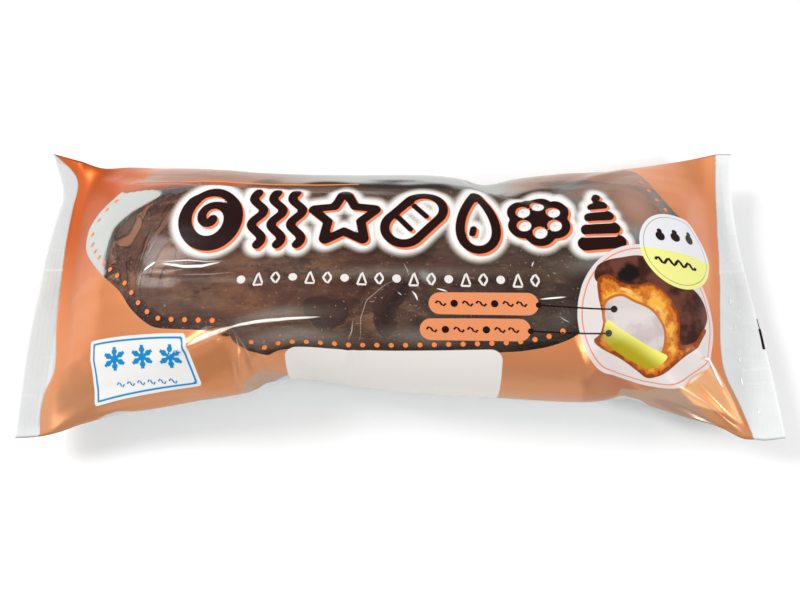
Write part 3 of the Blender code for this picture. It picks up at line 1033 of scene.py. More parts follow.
def haze_colour(tree, sealed, below):
    """The tone of film without ink: dusty, then hazy or pink where the painted reflection, the painted
    light and the smears lie.
    """
    pink = maths(tree, "MULTIPLY", read(tree, "blush"), step(tree, read(tree, "mist_and_painted_light"), 0.1, 0.4))
    dust = step(tree, read(tree, "mist_and_painted_light"), 0.02, 0.2)
    colour = mixed(tree, pink, mixed(tree, dust, DUST, HAZE), PINK_PAINTED_REFLECTION_AND_HAZE)
    colour = mixed(tree, below, colour, WHITE_BACK)
    # Painted light: the right seal is whiter than the left.
    white = mixed(tree, step(tree, read(tree, "flat_u"), -20.0, 20.0), SEAL_HAZE, SEAL_RIGHT_PAINTED_LIGHT)
    colour = mixed(tree, sealed, colour, white)
    return mixed(tree, step(tree, read(tree, "veil"), 0.05, 0.3), colour, VEIL_INK)


# %% The film's material
INK_METAL, SEAL_METAL = 0.5, 0.1


def film_material():
    """The film: see-through with a gloss, and solid where haze or ink covers it."""
    material, tree = new_material("printed_film")
    sealed = step(tree, read(tree, "seal"), -0.6, 0.6)
    below = step(tree, maths(tree, "ABSOLUTE", read(tree, "flat_v")), 49.6, 50.4)
    cover, colour = haze_cover(tree, sealed, below), haze_colour(tree, sealed, below)
    for share, ink in film_layers(tree):
        colour = mixed(tree, share, colour, ink)
        cover = maths(tree, "MAXIMUM", cover, share)

    pressed = step(tree, read(tree, "seal"), -7.0, -1.0)
    sheen = step(tree, pressed, 0.0, 1.0, INK_METAL, SEAL_METAL)
    metal = maths(tree, "MULTIPLY", inside(tree, "printed"), sheen)
    for name in ("disc", "panel", "label", "badge", "pills"):
        metal = maths(tree, "MULTIPLY", metal, step(tree, read(tree, name), -EDGE, EDGE))
    grain = bump(tree, cloudy(tree, 900.0, 2.0), 0.04, 0.0004)
    body = painted(tree, {
        "Base Color": colour, "Metallic": metal, "Normal": grain, "Specular IOR Level": 0.14,
        "Roughness": step(tree, pressed, 0.0, 1.0, 0.3, 0.6),
    })
    clear = add(tree, "ShaderNodeBsdfTransparent", {"Color": (0.985, 0.99, 0.985, 1)}).outputs["BSDF"]
    gloss = add(tree, "ShaderNodeBsdfAnisotropic", {
        "Color": (1, 1, 1, 1), "Roughness": 0.12, "Normal": grain,
    }).outputs["BSDF"]
    mirror = add(tree, "ShaderNodeFresnel", {"IOR": 1.26, "Normal": grain}).outputs["Fac"]
    film = add(tree, "ShaderNodeMixShader", {0: mirror, 1: clear, 2: gloss}).outputs["Shader"]
    close(tree, add(tree, "ShaderNodeMixShader", {0: cover, 1: film, 2: body}).outputs["Shader"])
    return material


FILM_MATERIAL = film_material()
wrap.data.materials.append(FILM_MATERIAL)
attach(wrap, "root")
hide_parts("film_pack")
print("the film's material has", len(FILM_MATERIAL.node_tree.nodes), "nodes")

# %% [markdown]
# ### Small print
# Dots, thin lines and little marks are too fine for the film's vertices. They are flat pieces,
# discs from `bmesh.ops.create_circle` and bars from `bmesh.ops.create_grid`, made on the flat
# sheet and then laid on the folded film, a hair above it. The marks are dots, waves, triangles
# and diamonds, and say nothing.

# %% Places on the folded film
def lay(u, v, lift):
    """Places on the folded film, lifted along its normal. u and v are arrays."""
    i = np.clip(np.searchsorted(U, u) - 1, 0, len(U) - 2)
    j = np.clip(np.searchsorted(V, v) - 1, 0, len(V) - 2)
    s = ((u - U[i]) / (U[i + 1] - U[i]))[:, None]
    t = ((v - V[j]) / (V[j + 1] - V[j]))[:, None]

    def between(field):
        low = field[i, j] * (1 - s) + field[i + 1, j] * s
        high = field[i, j + 1] * (1 - s) + field[i + 1, j + 1] * s
        return low * (1 - t) + high * t

    return between(ribbed) + between(FILM_NORMALS) * lift


print("the middle of the sheet is laid at", lay(np.zeros(1), np.zeros(1), 0.0)[0].round(1))

# %% Dots, strokes and waves
STROKE_CELL, STROKE_REACH = 0.8, 0.2


def dot(shape, u, v, radius, stretch=1.0):
    """A flat disc on the sheet, stretched along u by a factor."""
    spot = Matrix.Translation((u, v, 0)) @ Matrix.Diagonal((stretch, 1, 1, 1))
    bmesh.ops.create_circle(
        shape, cap_ends=True, cap_tris=True, segments=14, radius=radius, matrix=spot,
    )


def run_along(points):
    """How far along a line each of its points is."""
    return np.concatenate([[0], np.cumsum(np.hypot(*np.diff(points, axis=0)[:, :2].T))])


def pen(points, run, at, reach):
    """The point of a line at a distance along it, and the line's direction there."""
    at = [at, max(at - reach, 0), min(at + reach, run[-1])]
    (u, u0, u1), (v, v0, v1) = (np.interp(at, run, points[:, k]) for k in (0, 1))
    length = math.hypot(u1 - u0, v1 - v0)
    return u, v, (u1 - u0) / length, (v1 - v0) / length


def stroke(shape, points, width):
    """A flat bar along a line on the sheet, with a cell about every millimetre."""
    points = np.array(points, float)
    run = run_along(points)
    cells = max(2, int(run[-1] / STROKE_CELL))
    made = bmesh.ops.create_grid(shape, x_segments=cells, y_segments=1, size=1.0)
    for vertex in made["verts"]:
        u, v, du, dv = pen(points, run, (vertex.co.x + 1) / 2 * run[-1], STROKE_REACH)
        side = vertex.co.y * width / 2
        vertex.co = (u - side * dv, v + side * du, 0)


def wave(u, v, length, height, turns):
    """Points of a wavy line that starts at u, v."""
    shares = np.linspace(0, 1, 8 * turns + 1)
    return [(u + length * t, v + height * math.sin(2 * math.pi * turns * t)) for t in shares]


# %% Print pieces and their inks
INK_LIFT = 0.07


def print_piece(name, shape, material, lift=INK_LIFT):
    """Lays a flat drawing on the film and makes it one piece."""
    flat = np.array([vertex.co for vertex in shape.verts])
    for vertex, place in zip(shape.verts, lay(flat[:, 0], flat[:, 1], lift)):
        vertex.co = place * MM
    piece = finished(name, shape)
    piece.data.materials.append(material)
    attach(piece, "root")
    print(name, len(piece.data.polygons), "faces")


def ink_material(name, colour):
    """Plain ink, as glossy as the film's own."""
    inputs = {"Base Color": colour, "Metallic": 0.0, "Roughness": 0.3, "Specular IOR Level": 0.14}
    return plain_material(name, inputs)


ORANGE_PRINT = ink_material("orange_print", linear(232, 132, 72))
WHITE_PRINT = ink_material("white_print", PAPER)
COCOA_PRINT = ink_material("cocoa_print", COCOA_INK)
BLUE_PRINT = ink_material("blue_print", BLUE_INK)
print("print is laid", INK_LIFT, "mm above the film")

# %% The dots round the window
DOT_INSET = 2.7
DOT_PITCH = 3.9
DOT_RADIUS = 0.72
KEEP_CLEAR = [(DISC_CENTRE, DISC_RADIUS + 1), (BADGE_CENTRE, BADGE_RADIUS + 1)]
ABOVE_PANEL = [(PANEL_SIDES[0], -30.0), (PANEL_SIDES[1], -26.8)]
BELOW_SLOPE = [(-90, 27), (-78, 24), (66, 24), (72, 34)]
KNOT_SIDES, KNOT_TOP = (-48.0, -42.5), -10.0


def dot_shows(u, v):
    """Whether a dot at u, v is clear of the other print and of the folds."""
    clear = min(disc_distance(u, v, *disc) for disc in KEEP_CLEAR) > 0
    on_panel = PANEL_SIDES[0] - 1 < u < PANEL_SIDES[1] + 1 and v < straight(ABOVE_PANEL, u)
    in_knot = KNOT_SIDES[0] < u < KNOT_SIDES[1] and v < KNOT_TOP
    return clear and not on_panel and not in_knot and v <= straight(BELOW_SLOPE, u)


# The row of dots is the window's outline, drawn inwards. Its dots are even as seen from above,
# so they are stepped off along the row once it is laid on the film.
outline = np.array(WINDOW_CURVE + WINDOW_CURVE[:1])
even = np.linspace(0, run_along(outline)[-1], 700)
outline = np.array([np.interp(even, run_along(outline), outline[:, k]) for k in (0, 1)]).T
ahead = np.roll(outline, -3, axis=0) - np.roll(outline, 3, axis=0)
inset = outline + DOT_INSET * np.array([-ahead[:, 1], ahead[:, 0]]).T / np.hypot(*ahead.T)[:, None]
seen = run_along(lay(inset[:, 0], inset[:, 1], 0.0))
dots = bmesh.new()
for at in np.arange(0, seen[-1] - DOT_PITCH / 2, DOT_PITCH):
    u, v = (float(np.interp(at, seen, inset[:, k])) for k in (0, 1))
    if dot_shows(u, v):
        near, far = lay(np.array([u - 0.5, u + 0.5]), np.array([v, v]), 0.0)
        dot(dots, u, v, DOT_RADIUS, 1 / max(0.5, math.hypot(*(far - near)[:2])))
print_piece("window_dots", dots, ORANGE_PRINT)

# %% The lines to the picture
LEADERS = [((37.6, -15.2), (58.3, -16.1)), ((35.4, -22.3), (56.8, -22.6))]
LEADER_WIDTH, LEADER_START, LEADER_END = 0.42, 0.8, 0.95

leaders = bmesh.new()
for start, end in LEADERS:
    stroke(leaders, [start, end], LEADER_WIDTH)
    dot(leaders, *start, LEADER_START)
    dot(leaders, *end, LEADER_END)
print_piece("leader_lines", leaders, COCOA_PRINT)

# %% Marks under the title
SUBTITLE_FROM, SUBTITLE_PITCH, SUBTITLE_COUNT, SUBTITLE_V = -43.4, 4.72, 18, -8.45
TRIANGLE = [(-1.3, -1.85), (0, 1.85), (1.3, -1.85), (-1.3, -1.85)]
DIAMOND = [(-1.2, 0), (0, 1.85), (1.2, 0), (0, -1.85), (-1.2, 0)]

subtitle = bmesh.new()
for k in range(SUBTITLE_COUNT):
    u = SUBTITLE_FROM + k * SUBTITLE_PITCH
    if k % 3 == 0:
        dot(subtitle, u, SUBTITLE_V, 1.2)
    else:
        corners, width = (TRIANGLE, 0.55) if k % 3 == 1 else (DIAMOND, 0.6)
        stroke(subtitle, [(u + x, SUBTITLE_V + y) for x, y in corners], width)
print_piece("subtitle_marks", subtitle, WHITE_PRINT)

# %% Marks on the pills, the badge and the seal
PILL_MARKS, PILL_START, PILL_SPACES = 7, 0.2, 6.5
BADGE_DROPS = [(74.2, 7.2), (79.2, 7.7), (84.2, 8.2)]
BADGE_WAVE = (71.6, -0.6, 13.6, 0.9, 4)  # start u and v, length, height, turns
SEAL_BARS = [((111.2, -13.0), (110.8, -19.6), 0.9), ((111.3, -9.6), (111.2, -13.0), 0.3)]

cocoa = bmesh.new()
for (start_u, start_v), (end_u, end_v) in PILLS:
    for k in range(PILL_MARKS):
        u = start_u + PILL_START + k * (end_u - start_u) / PILL_SPACES
        v = start_v + (u - start_u) * (end_v - start_v) / (end_u - start_u)
        if k % 3 == 1:
            dot(cocoa, u, v, 1.0)
        else:
            stroke(cocoa, wave(u - 1.4, v, 2.8, 0.75, 1), 0.5)
for u, v in BADGE_DROPS:
    dot(cocoa, u, v, 1.5)
    dot(cocoa, u, v + 1.7, 0.8)
stroke(cocoa, wave(*BADGE_WAVE), 0.8)
for start, end, width in SEAL_BARS:
    stroke(cocoa, [start, end], width)
print_piece("cocoa_marks", cocoa, COCOA_PRINT)

# %% The label's flakes and waves, and the edge of the fold
FLAKES = [(-80.4, -28.8), (-71.6, -29.0), (-62.9, -29.2)]
FLAKE_RADIUS, FLAKE_KNOT = 3.5, 0.62
LABEL_WAVES, LABEL_WAVE_FROM, LABEL_WAVE_PITCH = 6, (-80.2, -36.9), 3.2

blue = bmesh.new()
for u, v in FLAKES:
    for du, dv in ring_of(6, FLAKE_RADIUS):
        stroke(blue, [(u, v), (u + du, v + dv)], 0.95)
        dot(blue, u + du * FLAKE_KNOT, v + dv * FLAKE_KNOT, 0.85)
    dot(blue, u, v, 1.0)
for k in range(LABEL_WAVES):
    start_u, start_v = LABEL_WAVE_FROM
    stroke(blue, wave(start_u + LABEL_WAVE_PITCH * k, start_v, 2.2, 0.9, 1), 0.38)
print_piece("blue_marks", blue, BLUE_PRINT)

fold = bmesh.new()
stroke(fold, FOLD_LINE, 0.5)
print_piece("fold_line", fold, ORANGE_PRINT)

# %% [markdown]
# ### Glints on the creases
# Along the sharpest creases a hair-thin line of light is painted on, the same whichever way it
# is seen. Each glint is such a painted highlight, a ribbon that fades to its sides and ends, warm
# where it lies on the copper ink. A few short ones lie on the right end seal.

# %% Painted highlights on the sharpest creases
PAINTED_GLINTS = [
    # points, width, strength, warmth
    ([(-58.4, -26.6), (-54.5, -24.5), (-51.2, -23.2), (-46.4, -21.9)], 3.6, 0.5, 1.0),
    ([(-58.2, -26.2), (-54.5, -24.4), (-51.2, -23.1), (-48.0, -22.2), (-44.6, -21.4)], 1.5, 1.0, 0.6),
    ([(-48, -22.1), (-43.3, -21.2), (-39.4, -20.9), (-36.6, -21.0), (-32.7, -21.2), (-27.8, -20.9),
      (-21, -20.2)], 1.1, 1.0, 0.0),
    ([(-71.4, -4.3), (-69.8, -3.0), (-68.0, -1.8)], 0.9, 0.95, 0.0),
    ([(-68.4, -1.8), (-63.7, -2.1), (-58.5, -2.1), (-53.5, -2.8), (-47.9, -2.7)], 0.5, 0.6, 0.0),
    ([(-66.8, -2.4), (-59.6, -4.0), (-54.6, -4.1), (-49.0, -3.0)], 1.1, 0.95, 0.0),
    ([(-62, -6.1), (-57, -6.4), (-52, -6.5), (-44.6, -6.2)], 0.6, 0.25, 0.0),
    ([(0.8, -3.5), (2.0, -5.9), (2.5, -8.0)], 0.4, 0.35, 0.0),
    ([(3.2, -11.8), (4.2, -13.0), (4.9, -14.8)], 0.7, 0.7, 0.0),
    ([(-0.8, -12.0), (0.6, -13.2)], 0.4, 0.5, 0.0),
    ([(-14.1, -26.8), (-13.1, -24.0), (-12.8, -20.4)], 0.5, 0.35, 0.0),
    ([(9.8, -11.1), (11.5, -11.5), (13.0, -12.0)], 0.5, 0.8, 0.0),
    ([(43.0, -18.0), (44.4, -18.9), (46.2, -19.8)], 0.4, 0.4, 0.0),
    ([(36.0, -4.6), (36.7, -2.9)], 0.5, 0.6, 0.0),
    ([(-12, -30), (-10.6, -25), (-10.6, -20), (-9.0, -14.9), (-4.1, -10.4), (2, -7)], 0.4, 0.28, 0.0),
    ([(37.8, -13.6), (40.6, -13.3), (45.2, -12.8)], 0.6, 0.95, 0.0),
    ([(100.6, -3.6), (100.9, -6.4)], 1.0, 0.9, 0.0),
    ([(104.6, -6.0), (105.2, -8.2)], 0.7, 0.7, 0.0),
    ([(101.0, -12.0), (101.2, -14.4)], 0.8, 0.7, 0.0),
    ([(100.8, -22.6), (100.9, -24.6)], 0.8, 0.9, 0.0),
    ([(100.6, -28.6), (100.9, -31.6)], 1.1, 0.9, 0.0),
    ([(105.0, -37.2), (105.3, -39.2)], 0.7, 0.8, 0.0),
    ([(84.0, -27.2), (87.2, -26.9), (89.6, -31.0), (92.5, -35)], 2.0, 0.95, 1.0),
    ([(80, -36.2), (84, -33.2), (87.0, -30.0)], 2.4, 0.6, 1.0),
    ([(-45.5, -22), (-42.9, -27.3), (-41.2, -31.8), (-40.0, -37.9)], 0.5, 0.3, 0.6),
    ([(-45.2, -22), (-44.2, -27.8), (-44.2, -32.4), (-44.5, -38.4)], 0.8, 0.35, 0.8),
]
print(len(PAINTED_GLINTS), "glints")

# %% Painted glints as ribbons that fade
GLINT_LIFT = 0.12
GLINT_TIP = 0.25
GLINT_REACH = 0.8
GLINT_EDGE, GLINT_CORE = linear(252, 176, 96), linear(255, 252, 244)


def glint(shape, points, width, strength, warmth):
    """A painted highlight: a ribbon along a line on the sheet, with how bright and how warm it is on its
    vertices.
    """
    shine = shape.verts.layers.float["shine"]
    warm = shape.verts.layers.float["warm"]
    points = np.array(points, float)
    run = run_along(points)
    made = bmesh.ops.create_grid(shape, x_segments=48, y_segments=6, size=1.0)
    for vertex in made["verts"]:
        share, side = (vertex.co.x + 1) / 2, vertex.co.y
        u, v, du, dv = pen(points, run, share * run[-1], GLINT_REACH)
        taper = math.sin(math.pi * share) ** 0.5
        half = side * width / 2 * (GLINT_TIP + (1 - GLINT_TIP) * taper)
        vertex.co = (u - half * dv, v + half * du, 0)
        vertex[shine] = strength * (1 - side**2) * taper
        vertex[warm] = warmth


def glint_material():
    """A painted highlight, bright in the middle of a ribbon and see-through at its sides and ends."""
    material, tree = new_material("crease_glint")
    core = step(tree, read(tree, "shine"), 0.3, 0.7)
    edge = mixed(tree, read(tree, "warm"), GLOW, GLINT_EDGE)
    body = painted(tree, {"Base Color": mixed(tree, core, edge, GLINT_CORE), "Roughness": 0.3})
    clear = add(tree, "ShaderNodeBsdfTransparent").outputs["BSDF"]
    share = step(tree, read(tree, "shine"), 0.02, 0.75, 0.0, 0.96)
    close(tree, add(tree, "ShaderNodeMixShader", {0: share, 1: clear, 2: body}).outputs["Shader"])
    return material


glints = bmesh.new()
glints.verts.layers.float.new("shine")
glints.verts.layers.float.new("warm")
for line in PAINTED_GLINTS:
    glint(glints, *line)
print_piece("painted_crease_glints", glints, glint_material(), GLINT_LIFT)

# %% [markdown]
# ### The back seam
# The sheet's two edges meet under the pack, where they are pressed together into one ribbed
# strip that lies flat. It runs from end to end and closes the film's tube.

# %% The back seam
SEAM_COLUMNS = 12
SEAM_DROP = 0.28
SEAM_RIB_HEIGHT = 0.06

seam_shares = np.linspace(0, 1, SEAM_COLUMNS + 1)
seam = film[:, :1] * (1 - seam_shares[None, :, None]) + film[:, -1:] * seam_shares[None, :, None]
seam_u, seam_y = np.meshgrid(U, BACK_SEAM_WIDTH * (seam_shares - 0.5), indexing="ij")
seam[..., 1] = seam_y
seam[..., 2] += SEAM_RIB_HEIGHT * np.sin(2 * math.pi * seam_u / RIB_PITCH) - SEAM_DROP
back_seam = sheet("back_seam", seam, seam_u, 2 * HALF_SEAL + seam_y)[0]
back_seam.data.materials.append(FILM_MATERIAL)
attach(back_seam, "root")
print("back seam lies from", seam[..., 2].min().round(2), "mm up")

# %% [markdown]
# ## The eclair
# Choux is piped as a long finger and bakes to a rounded bar with a flat base. Its upper half is
# dipped in dark chocolate. The bar is one sphere from `bmesh.ops.create_uvsphere`, drawn out
# along the pack and flattened below, so that its poles are at the ends and no seam shows. Where
# the film is drawn tight, the chocolate has taken the film's shape, so the bar is kept just
# under the film.

# %% The form of the bar
ECLAIR_LENGTH = 176.0
ECLAIR_WIDTH = 54.0
ECLAIR_HEIGHT = 38.0
ECLAIR_BASE = 1.0
ECLAIR_CENTRE = (0.3, 1.0)
END_CROWDING = 0.86
END_TAPER = 32.0
END_EXPONENT = 2.3
SECTION_EXPONENT = 2.6
WIDEST_AT = 0.42
LOW_GIRTH = 0.35

film_tree = BVHTree.FromPolygons(
    [tuple(v.co / MM) for v in wrap.data.vertices], [tuple(f.vertices) for f in wrap.data.polygons],
)


def under_film(point, gap):
    """Keeps a point below the film that is above it."""
    top = film_tree.ray_cast(Vector((point.x, point.y, 90)), Vector((0, 0, -1)))[0]
    if top is not None:
        point.z = min(point.z, top.z - gap)
    return point


def bar_point(direction):
    """Where the bar's skin is in a direction, and the skin's outward normal there."""
    x, y, z = direction
    px = math.copysign(1 - (1 - abs(x)) ** END_CROWDING, x) * ECLAIR_LENGTH / 2
    from_end = min(1.0, (ECLAIR_LENGTH / 2 - abs(px)) / END_TAPER)
    girth = math.sqrt(max(1 - (1 - from_end) ** END_EXPONENT, 0.0))
    across, square = math.hypot(y, z), 0.0
    if across > 1e-6:
        y, z = y / across, z / across
        square = (abs(y) ** SECTION_EXPONENT + abs(z) ** SECTION_EXPONENT) ** (-1 / SECTION_EXPONENT)
    else:
        y = z = 0.0
    tall = girth if z > 0 else LOW_GIRTH + (1 - LOW_GIRTH) * girth
    share = 1 - WIDEST_AT if z > 0 else WIDEST_AT
    place = Vector((
        px + ECLAIR_CENTRE[0],
        y * square * girth * ECLAIR_WIDTH / 2 + ECLAIR_CENTRE[1],
        ECLAIR_HEIGHT * (WIDEST_AT + share * z * square * tall),
    ))
    out = Vector((math.copysign(1 - girth, px), y, z))
    return place, out.normalized(), girth


print("the bar's top is", round(bar_point((0, 0, 1))[0].z, 1), "mm above its base")

# %% [markdown]
# ### The coat
# The coat is the same bar, grown by its own thickness and thinner below its uneven lower edge,
# where its points are deleted. At the left end it has swirling folds. A solidified copy of the
# upper half would do too, but its rim would be a hard step, and dipped chocolate thins out.

# %% The coat's lower edge and its folds
COAT_EDGE = 9.0
FOLDS_FROM, FOLDS_EASE = -54.0, 16.0


def coat_edge(x):
    """How high the coat's lower edge is, in millimetres, along the bar."""
    broad, fine = noise.noise((x * 0.07, 1.7, 0.0)), noise.noise((x * 0.3, 4.0, 0.0))
    return COAT_EDGE + 2.2 * broad + 0.9 * fine


def folds(place):
    """The coat's swirling folds at its left end, where the chocolate was pushed together."""
    near = min(1.0, max(0.0, (FOLDS_FROM - place.x) / FOLDS_EASE))
    drift = Vector((noise.noise(place * 0.07), noise.noise(place * 0.07 + Vector((9, 0, 0))), 0)) * 7.0
    crossed = place + drift + Vector((0.05 * (place.y - 4.0) ** 2, 0, 0))
    ridge = abs(noise.noise((crossed.x * 0.16, crossed.y * 0.055, 2.0)))
    fine = abs(noise.noise((crossed.x * 0.4, crossed.y * 0.13, 5.0)))
    return near * (1.1 - 4.2 * min(ridge, 0.3) - 1.2 * min(fine, 0.3)) * 0.8


print("half way along, the coat's edge is", round(coat_edge(0.0), 1), "mm up")

# %% The bar of choux and its coat
COAT_THICKNESS = 0.8
COAT_SLOPE = 1.4
COAT_CUT = -1.2
FILM_GAP = 0.35


def bar(name, coat):
    """The eclair's form, plain or as a coat that ends in an uneven edge."""
    shape = bmesh.new()
    bmesh.ops.create_uvsphere(shape, u_segments=112, v_segments=176, radius=1.0)
    spare = []
    for vertex in shape.verts:
        place, out, girth = bar_point((vertex.co.z, vertex.co.x, vertex.co.y))
        lump = 1.2 * noise.noise(place * 0.045) + 0.5 * noise.noise(place * 0.15)
        skin = 0.0
        if coat:
            short = max(coat_edge(place.x) - place.z, 0.0)
            uneven = 0.35 * noise.noise(place * 0.2) + folds(place)
            skin = COAT_THICKNESS - short * COAT_SLOPE + uneven
            if skin < COAT_CUT:
                spare.append(vertex)
        place += out * (lump * min(1.0, girth + 0.2) + skin)
        place.z = max(place.z, 0.0) + ECLAIR_BASE
        vertex.co = under_film(place, FILM_GAP if coat else FILM_GAP + COAT_THICKNESS) * MM
    bmesh.ops.delete(shape, geom=spare, context="VERTS")
    bmesh.ops.recalc_face_normals(shape, faces=shape.faces)
    return finished(name, shape)


choux = bar("choux_bar", False)
coat = bar("chocolate_coat", True)
for piece in (choux, coat):
    size = np.array([v.co for v in piece.data.vertices])
    print(piece.name, (size.max(0) - size.min(0)).round(4))

# %% [markdown]
# ### Chocolate and choux
# Set chocolate is satin and a little bloomed. Where the film clings to it, it looks wet, darker
# and glossier, and those patches are outlines seen from above. The left end is crumpled, with
# painted shade in its crevices, and the right half is darker by painted shade. Choux is golden,
# browner on its bumps.

# %% Where the film clings and where the coat is crumpled
CLING = [
    [(-67.2, 6.9), (-65.5, 9.1), (-61.7, 10.7), (-58.3, 10.7), (-60.5, 8.0)],
    [(-74.7, -12.3), (-70.9, -16.9), (-65.4, -19.8), (-58.8, -19.3), (-64.0, -17.0), (-70, -12)],
    [(-24.4, -11.8), (-19.4, -12.0), (-13.2, -14.3), (-14.5, -18.8), (-21.6, -19.7), (-25.5, -14.8)],
    [(-6.1, -16.8), (-5.2, -11.7), (-1.9, -8.2), (2.9, -7.7), (3.8, -10.7), (0.0, -15.8),
     (0.0, -20.7), (-4.6, -21.7)],
    [(-60, 20.5), (-48, 22.0), (-40, 21.0), (-52, 19.4)],
    [(-30, 21.5), (-18, 22.6), (-10, 21.4), (-20, 20.2)],
    [(46, -12), (54, -9), (53, -16), (47, -19)],
    [(60, -1), (66, 3), (64, -5)],
]
CLING_ABOVE = 14.0
NOWHERE = 50.0
CRUMPLED_FROM, CRUMPLED_EASE = -57.0, 18.0

x, y, z = np.array([v.co for v in coat.data.vertices]).T / MM
cling = np.min([polygon_distance(x, y, smooth_closed(patch)) for patch in CLING], axis=0)
store(coat, "cling", np.where(z > CLING_ABOVE, cling, NOWHERE))
upper = np.clip((y + 14.0) / 12.0, 0.25, 1)
store(coat, "fold_near", np.clip((CRUMPLED_FROM - x) / CRUMPLED_EASE, 0, 1) * upper)
print("the film clings at", int((cling < 0).sum()), "points of the coat")

# %% Tones of chocolate and choux
# The right-hand tones are painted shade: the coat's right half is darker.
PALE_LEFT, PALE_RIGHT_PAINTED_SHADE = linear(148, 96, 64), linear(80, 51, 40)
DEEP_LEFT, DEEP_RIGHT_PAINTED_SHADE = linear(96, 50, 34), linear(58, 31, 23)
VEIN, MAUVE, SPECK = linear(150, 110, 80), linear(90, 47, 46), linear(170, 146, 124)
# The crevice tone is painted shade in the crumpled end's creases.
CRUMPLED_DEEP, CRUMPLED_PALE, CREVICE_PAINTED_SHADE = linear(90, 41, 30), linear(168, 108, 76), linear(34, 15, 11)
RUBBED, SCORED, WET = linear(164, 128, 100), linear(46, 20, 14), linear(64, 22, 14)
CHOUX, CHOUX_BROWN = linear(214, 158, 88), linear(168, 104, 50)
print("wet chocolate is", [round(c, 3) for c in WET[:3]], "in linear light")

# %% Layers of the chocolate
def patches(tree, scale, stretch, roughness, low, high, top=1.0):
    """A share that goes from 0 to top in uneven patches, from one value of noise to another."""
    return step(tree, cloudy(tree, scale, 8.0, stretch, roughness), low, high, 0.0, top)


def clinging(tree):
    """Where the coat looks wet: the drawn patches and scattered small ones."""
    wobble = maths(tree, "MULTIPLY", cloudy(tree, 160.0, 6.0, roughness=0.7), 5.0)
    drawn = step(tree, maths(tree, "ADD", read(tree, "cling"), wobble), 2.7, 2.2)
    scattered = patches(tree, 38.0, (0.8, 1.3, 1.0), 0.68, 0.575, 0.60, 0.8)
    return maths(tree, "MAXIMUM", drawn, scattered)


def set_chocolate(tree):
    """The coat's tone, in lumps, with pale veins and mauve bloom, and a right half darkened by painted
    shade.
    """
    place = add(tree, "ShaderNodeTexCoord").outputs["Object"]
    along_pack = add(tree, "ShaderNodeSeparateXYZ", {"Vector": place}).outputs["X"]
    # Painted shade: the coat turns darker towards its right half.
    right = step(tree, along_pack, -0.03, 0.04)
    lumps = step(tree, cloudy(tree, 34.0, 6.0, (0.7, 1.2, 1.0), 0.6), 0.38, 0.62)
    deep, pale = mixed(tree, right, DEEP_LEFT, DEEP_RIGHT_PAINTED_SHADE), mixed(tree, right, PALE_LEFT, PALE_RIGHT_PAINTED_SHADE)
    veined = patches(tree, 110.0, (0.5, 1.2, 1.0), 0.75, 0.50, 0.62, 0.6)
    veined = maths(tree, "MULTIPLY", veined, step(tree, right, 0.0, 1.0, 1.0, 0.4))
    colour = mixed(tree, veined, mixed(tree, lumps, deep, pale), VEIN)
    bloom = step(tree, cloudy(tree, 30.0, 6.0, roughness=0.65), 0.50, 0.60, 0.0, 0.7)
    return mixed(tree, bloom, colour, MAUVE)


# %% The chocolate, from its lowest layer up
def chocolate_material():
    """Chocolate that is set, crumpled with painted shade in its crevices, rubbed, scored, wet and specked,
    in that order.
    """
    material, tree = new_material("dark_chocolate")
    swirl = cloudy(tree, 42.0, 3.0, (1.5, 0.75, 1.0), 0.5, 2.2)
    from_crevice = maths(tree, "ABSOLUTE", maths(tree, "SUBTRACT", swirl, 0.5))
    crumpled = mixed(tree, step(tree, swirl, 0.40, 0.60), CRUMPLED_DEEP, CRUMPLED_PALE)
    # Painted shade along the bottoms of the crumpled folds.
    crevice = step(tree, from_crevice, 0.030, 0.004, 0.0, 0.9)
    near, cling = read(tree, "fold_near"), clinging(tree)
    colour = set_chocolate(tree)
    for share, tone in (
        (step(tree, near, 0.1, 0.9, 0.0, 0.85), mixed(tree, crevice, crumpled, CREVICE_PAINTED_SHADE)),
        (patches(tree, 260.0, (0.5, 1.3, 1.0), 0.8, 0.53, 0.66, 0.45), RUBBED),
        (patches(tree, 190.0, (0.4, 1.4, 1.0), 0.75, 0.47, 0.36, 0.5), SCORED),
        (cling, WET),
        (step(tree, cloudy(tree, 1100.0, 1.0), 0.70, 0.75, 0.0, 0.9), SPECK),
    ):
        colour = mixed(tree, share, colour, tone)
    rising = maths(tree, "MULTIPLY", near, 0.8)
    folded = maths(tree, "MULTIPLY", step(tree, from_crevice, 0.0, 0.06), rising)
    height = maths(tree, "ADD", cloudy(tree, 150.0, 7.0, (0.5, 1.2, 1.0), 0.7), folded)
    close(tree, painted(tree, {
        "Base Color": colour, "Roughness": step(tree, cling, 0.0, 1.0, 0.55, 0.42, "LINEAR"),
        "Normal": bump(tree, height, 0.9, 0.0020), "Specular IOR Level": 0.35,
    }))
    return material


# %% The choux, and both pieces on the pack's body
def choux_material():
    """Baked choux, browner on its bumps."""
    material, tree = new_material("baked_choux")
    browned = step(tree, cloudy(tree, 90.0, 5.0), 0.4, 0.7)
    close(tree, painted(tree, {
        "Base Color": mixed(tree, browned, CHOUX, CHOUX_BROWN), "Roughness": 0.62,
        "Normal": bump(tree, cloudy(tree, 260.0, 5.0), 0.5, 0.0008),
    }))
    return material


coat.data.materials.append(chocolate_material())
choux.data.materials.append(choux_material())
for piece in (choux, coat):
    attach(piece, "root")
    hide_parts("film_pack")
    print(piece.name, "rides on the pack's body")

# %% [markdown]
# ## Floor, light and camera
# The photo is a catalogue picture on plain white, lit by soft daylight from the upper left.
# Two square lamps and an even white sky give that light, and the lamps' reflections draw the
# film. The camera looks down steeply, from where the pack's outline fits the photo's.

# %% The floor
FLOOR_HALF = 3.0

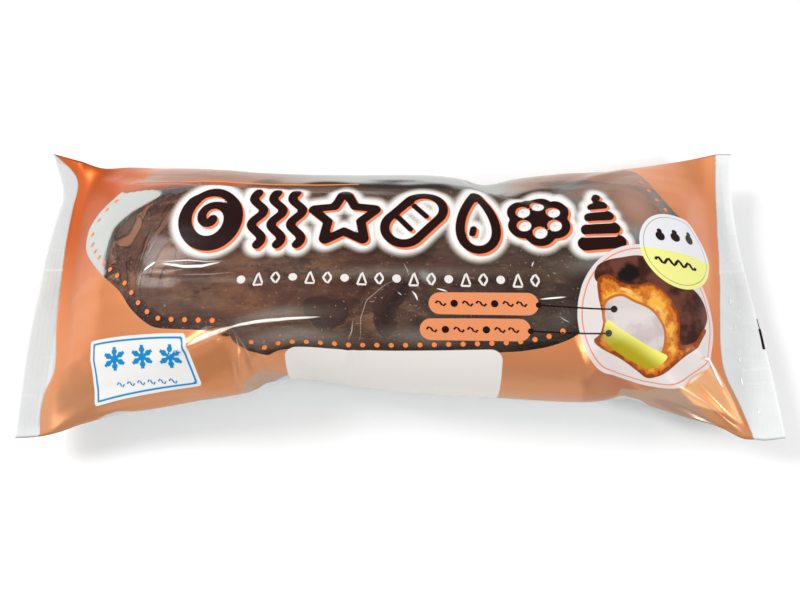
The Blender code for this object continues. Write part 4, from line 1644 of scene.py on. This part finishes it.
table = bmesh.new()
bmesh.ops.create_grid(table, x_segments=1, y_segments=1, size=FLOOR_HALF)
floor = finished("white_floor", table)
floor.data.materials.append(plain_material("white_table", {
    "Base Color": (0.96, 0.96, 0.96, 1), "Roughness": 0.9,
}))
print("the floor is", 2 * FLOOR_HALF, "m wide")

# %% The lamps and the sky
WORLD_STRENGTH = 0.60
LIT_POINT = Vector((0, 0, 0.02))


def softbox(name, place, size, power):
    """A square lamp at a place, in metres and watts, turned to the pack's middle."""
    lamp = bpy.data.lights.new(name, "AREA")
    lamp.size = size
    lamp.energy = power
    box = bpy.data.objects.new(name, lamp)
    box.location = place
    box.rotation_euler = (LIT_POINT - Vector(place)).to_track_quat("-Z", "Y").to_euler()
    bpy.context.scene.collection.objects.link(box)


softbox("window_light", (-0.78, 0.30, 0.76), 0.44, 8.0)
softbox("fill_light", (0.72, -0.38, 0.70), 0.28, 3.9)
world = bpy.data.worlds.new("studio")
world.use_nodes = True
background = world.node_tree.nodes["Background"].inputs
background["Color"].default_value = (1, 1, 1, 1)
background["Strength"].default_value = WORLD_STRENGTH
print("sky strength", WORLD_STRENGTH)
bpy.context.scene.world = world
bpy.context.scene.view_settings.view_transform = "Standard"

# %% The camera
CAMERA_ELEVATION = math.radians(70.0)
CAMERA_DISTANCE = 243.0
CAMERA_FOCUS = (1.0, -3.3, 12.0)
FOCAL_PIXELS = 785.0
PHOTO_WIDTH = 800
SENSOR = 36.0

lens = bpy.data.cameras.new("photo_camera")
lens.sensor_width = SENSOR
lens.lens = FOCAL_PIXELS / PHOTO_WIDTH * SENSOR
camera = bpy.data.objects.new("photo_camera", lens)
back = Vector((0, -math.cos(CAMERA_ELEVATION), math.sin(CAMERA_ELEVATION)))
camera.location = (Vector(CAMERA_FOCUS) + back * CAMERA_DISTANCE) * MM
camera.rotation_euler = (-back).to_track_quat("-Z", "Y").to_euler()
bpy.context.scene.collection.objects.link(camera)
bpy.context.scene.camera = camera
print("camera at", [round(c, 4) for c in camera.location], "with a lens of", round(lens.lens, 2), "mm")
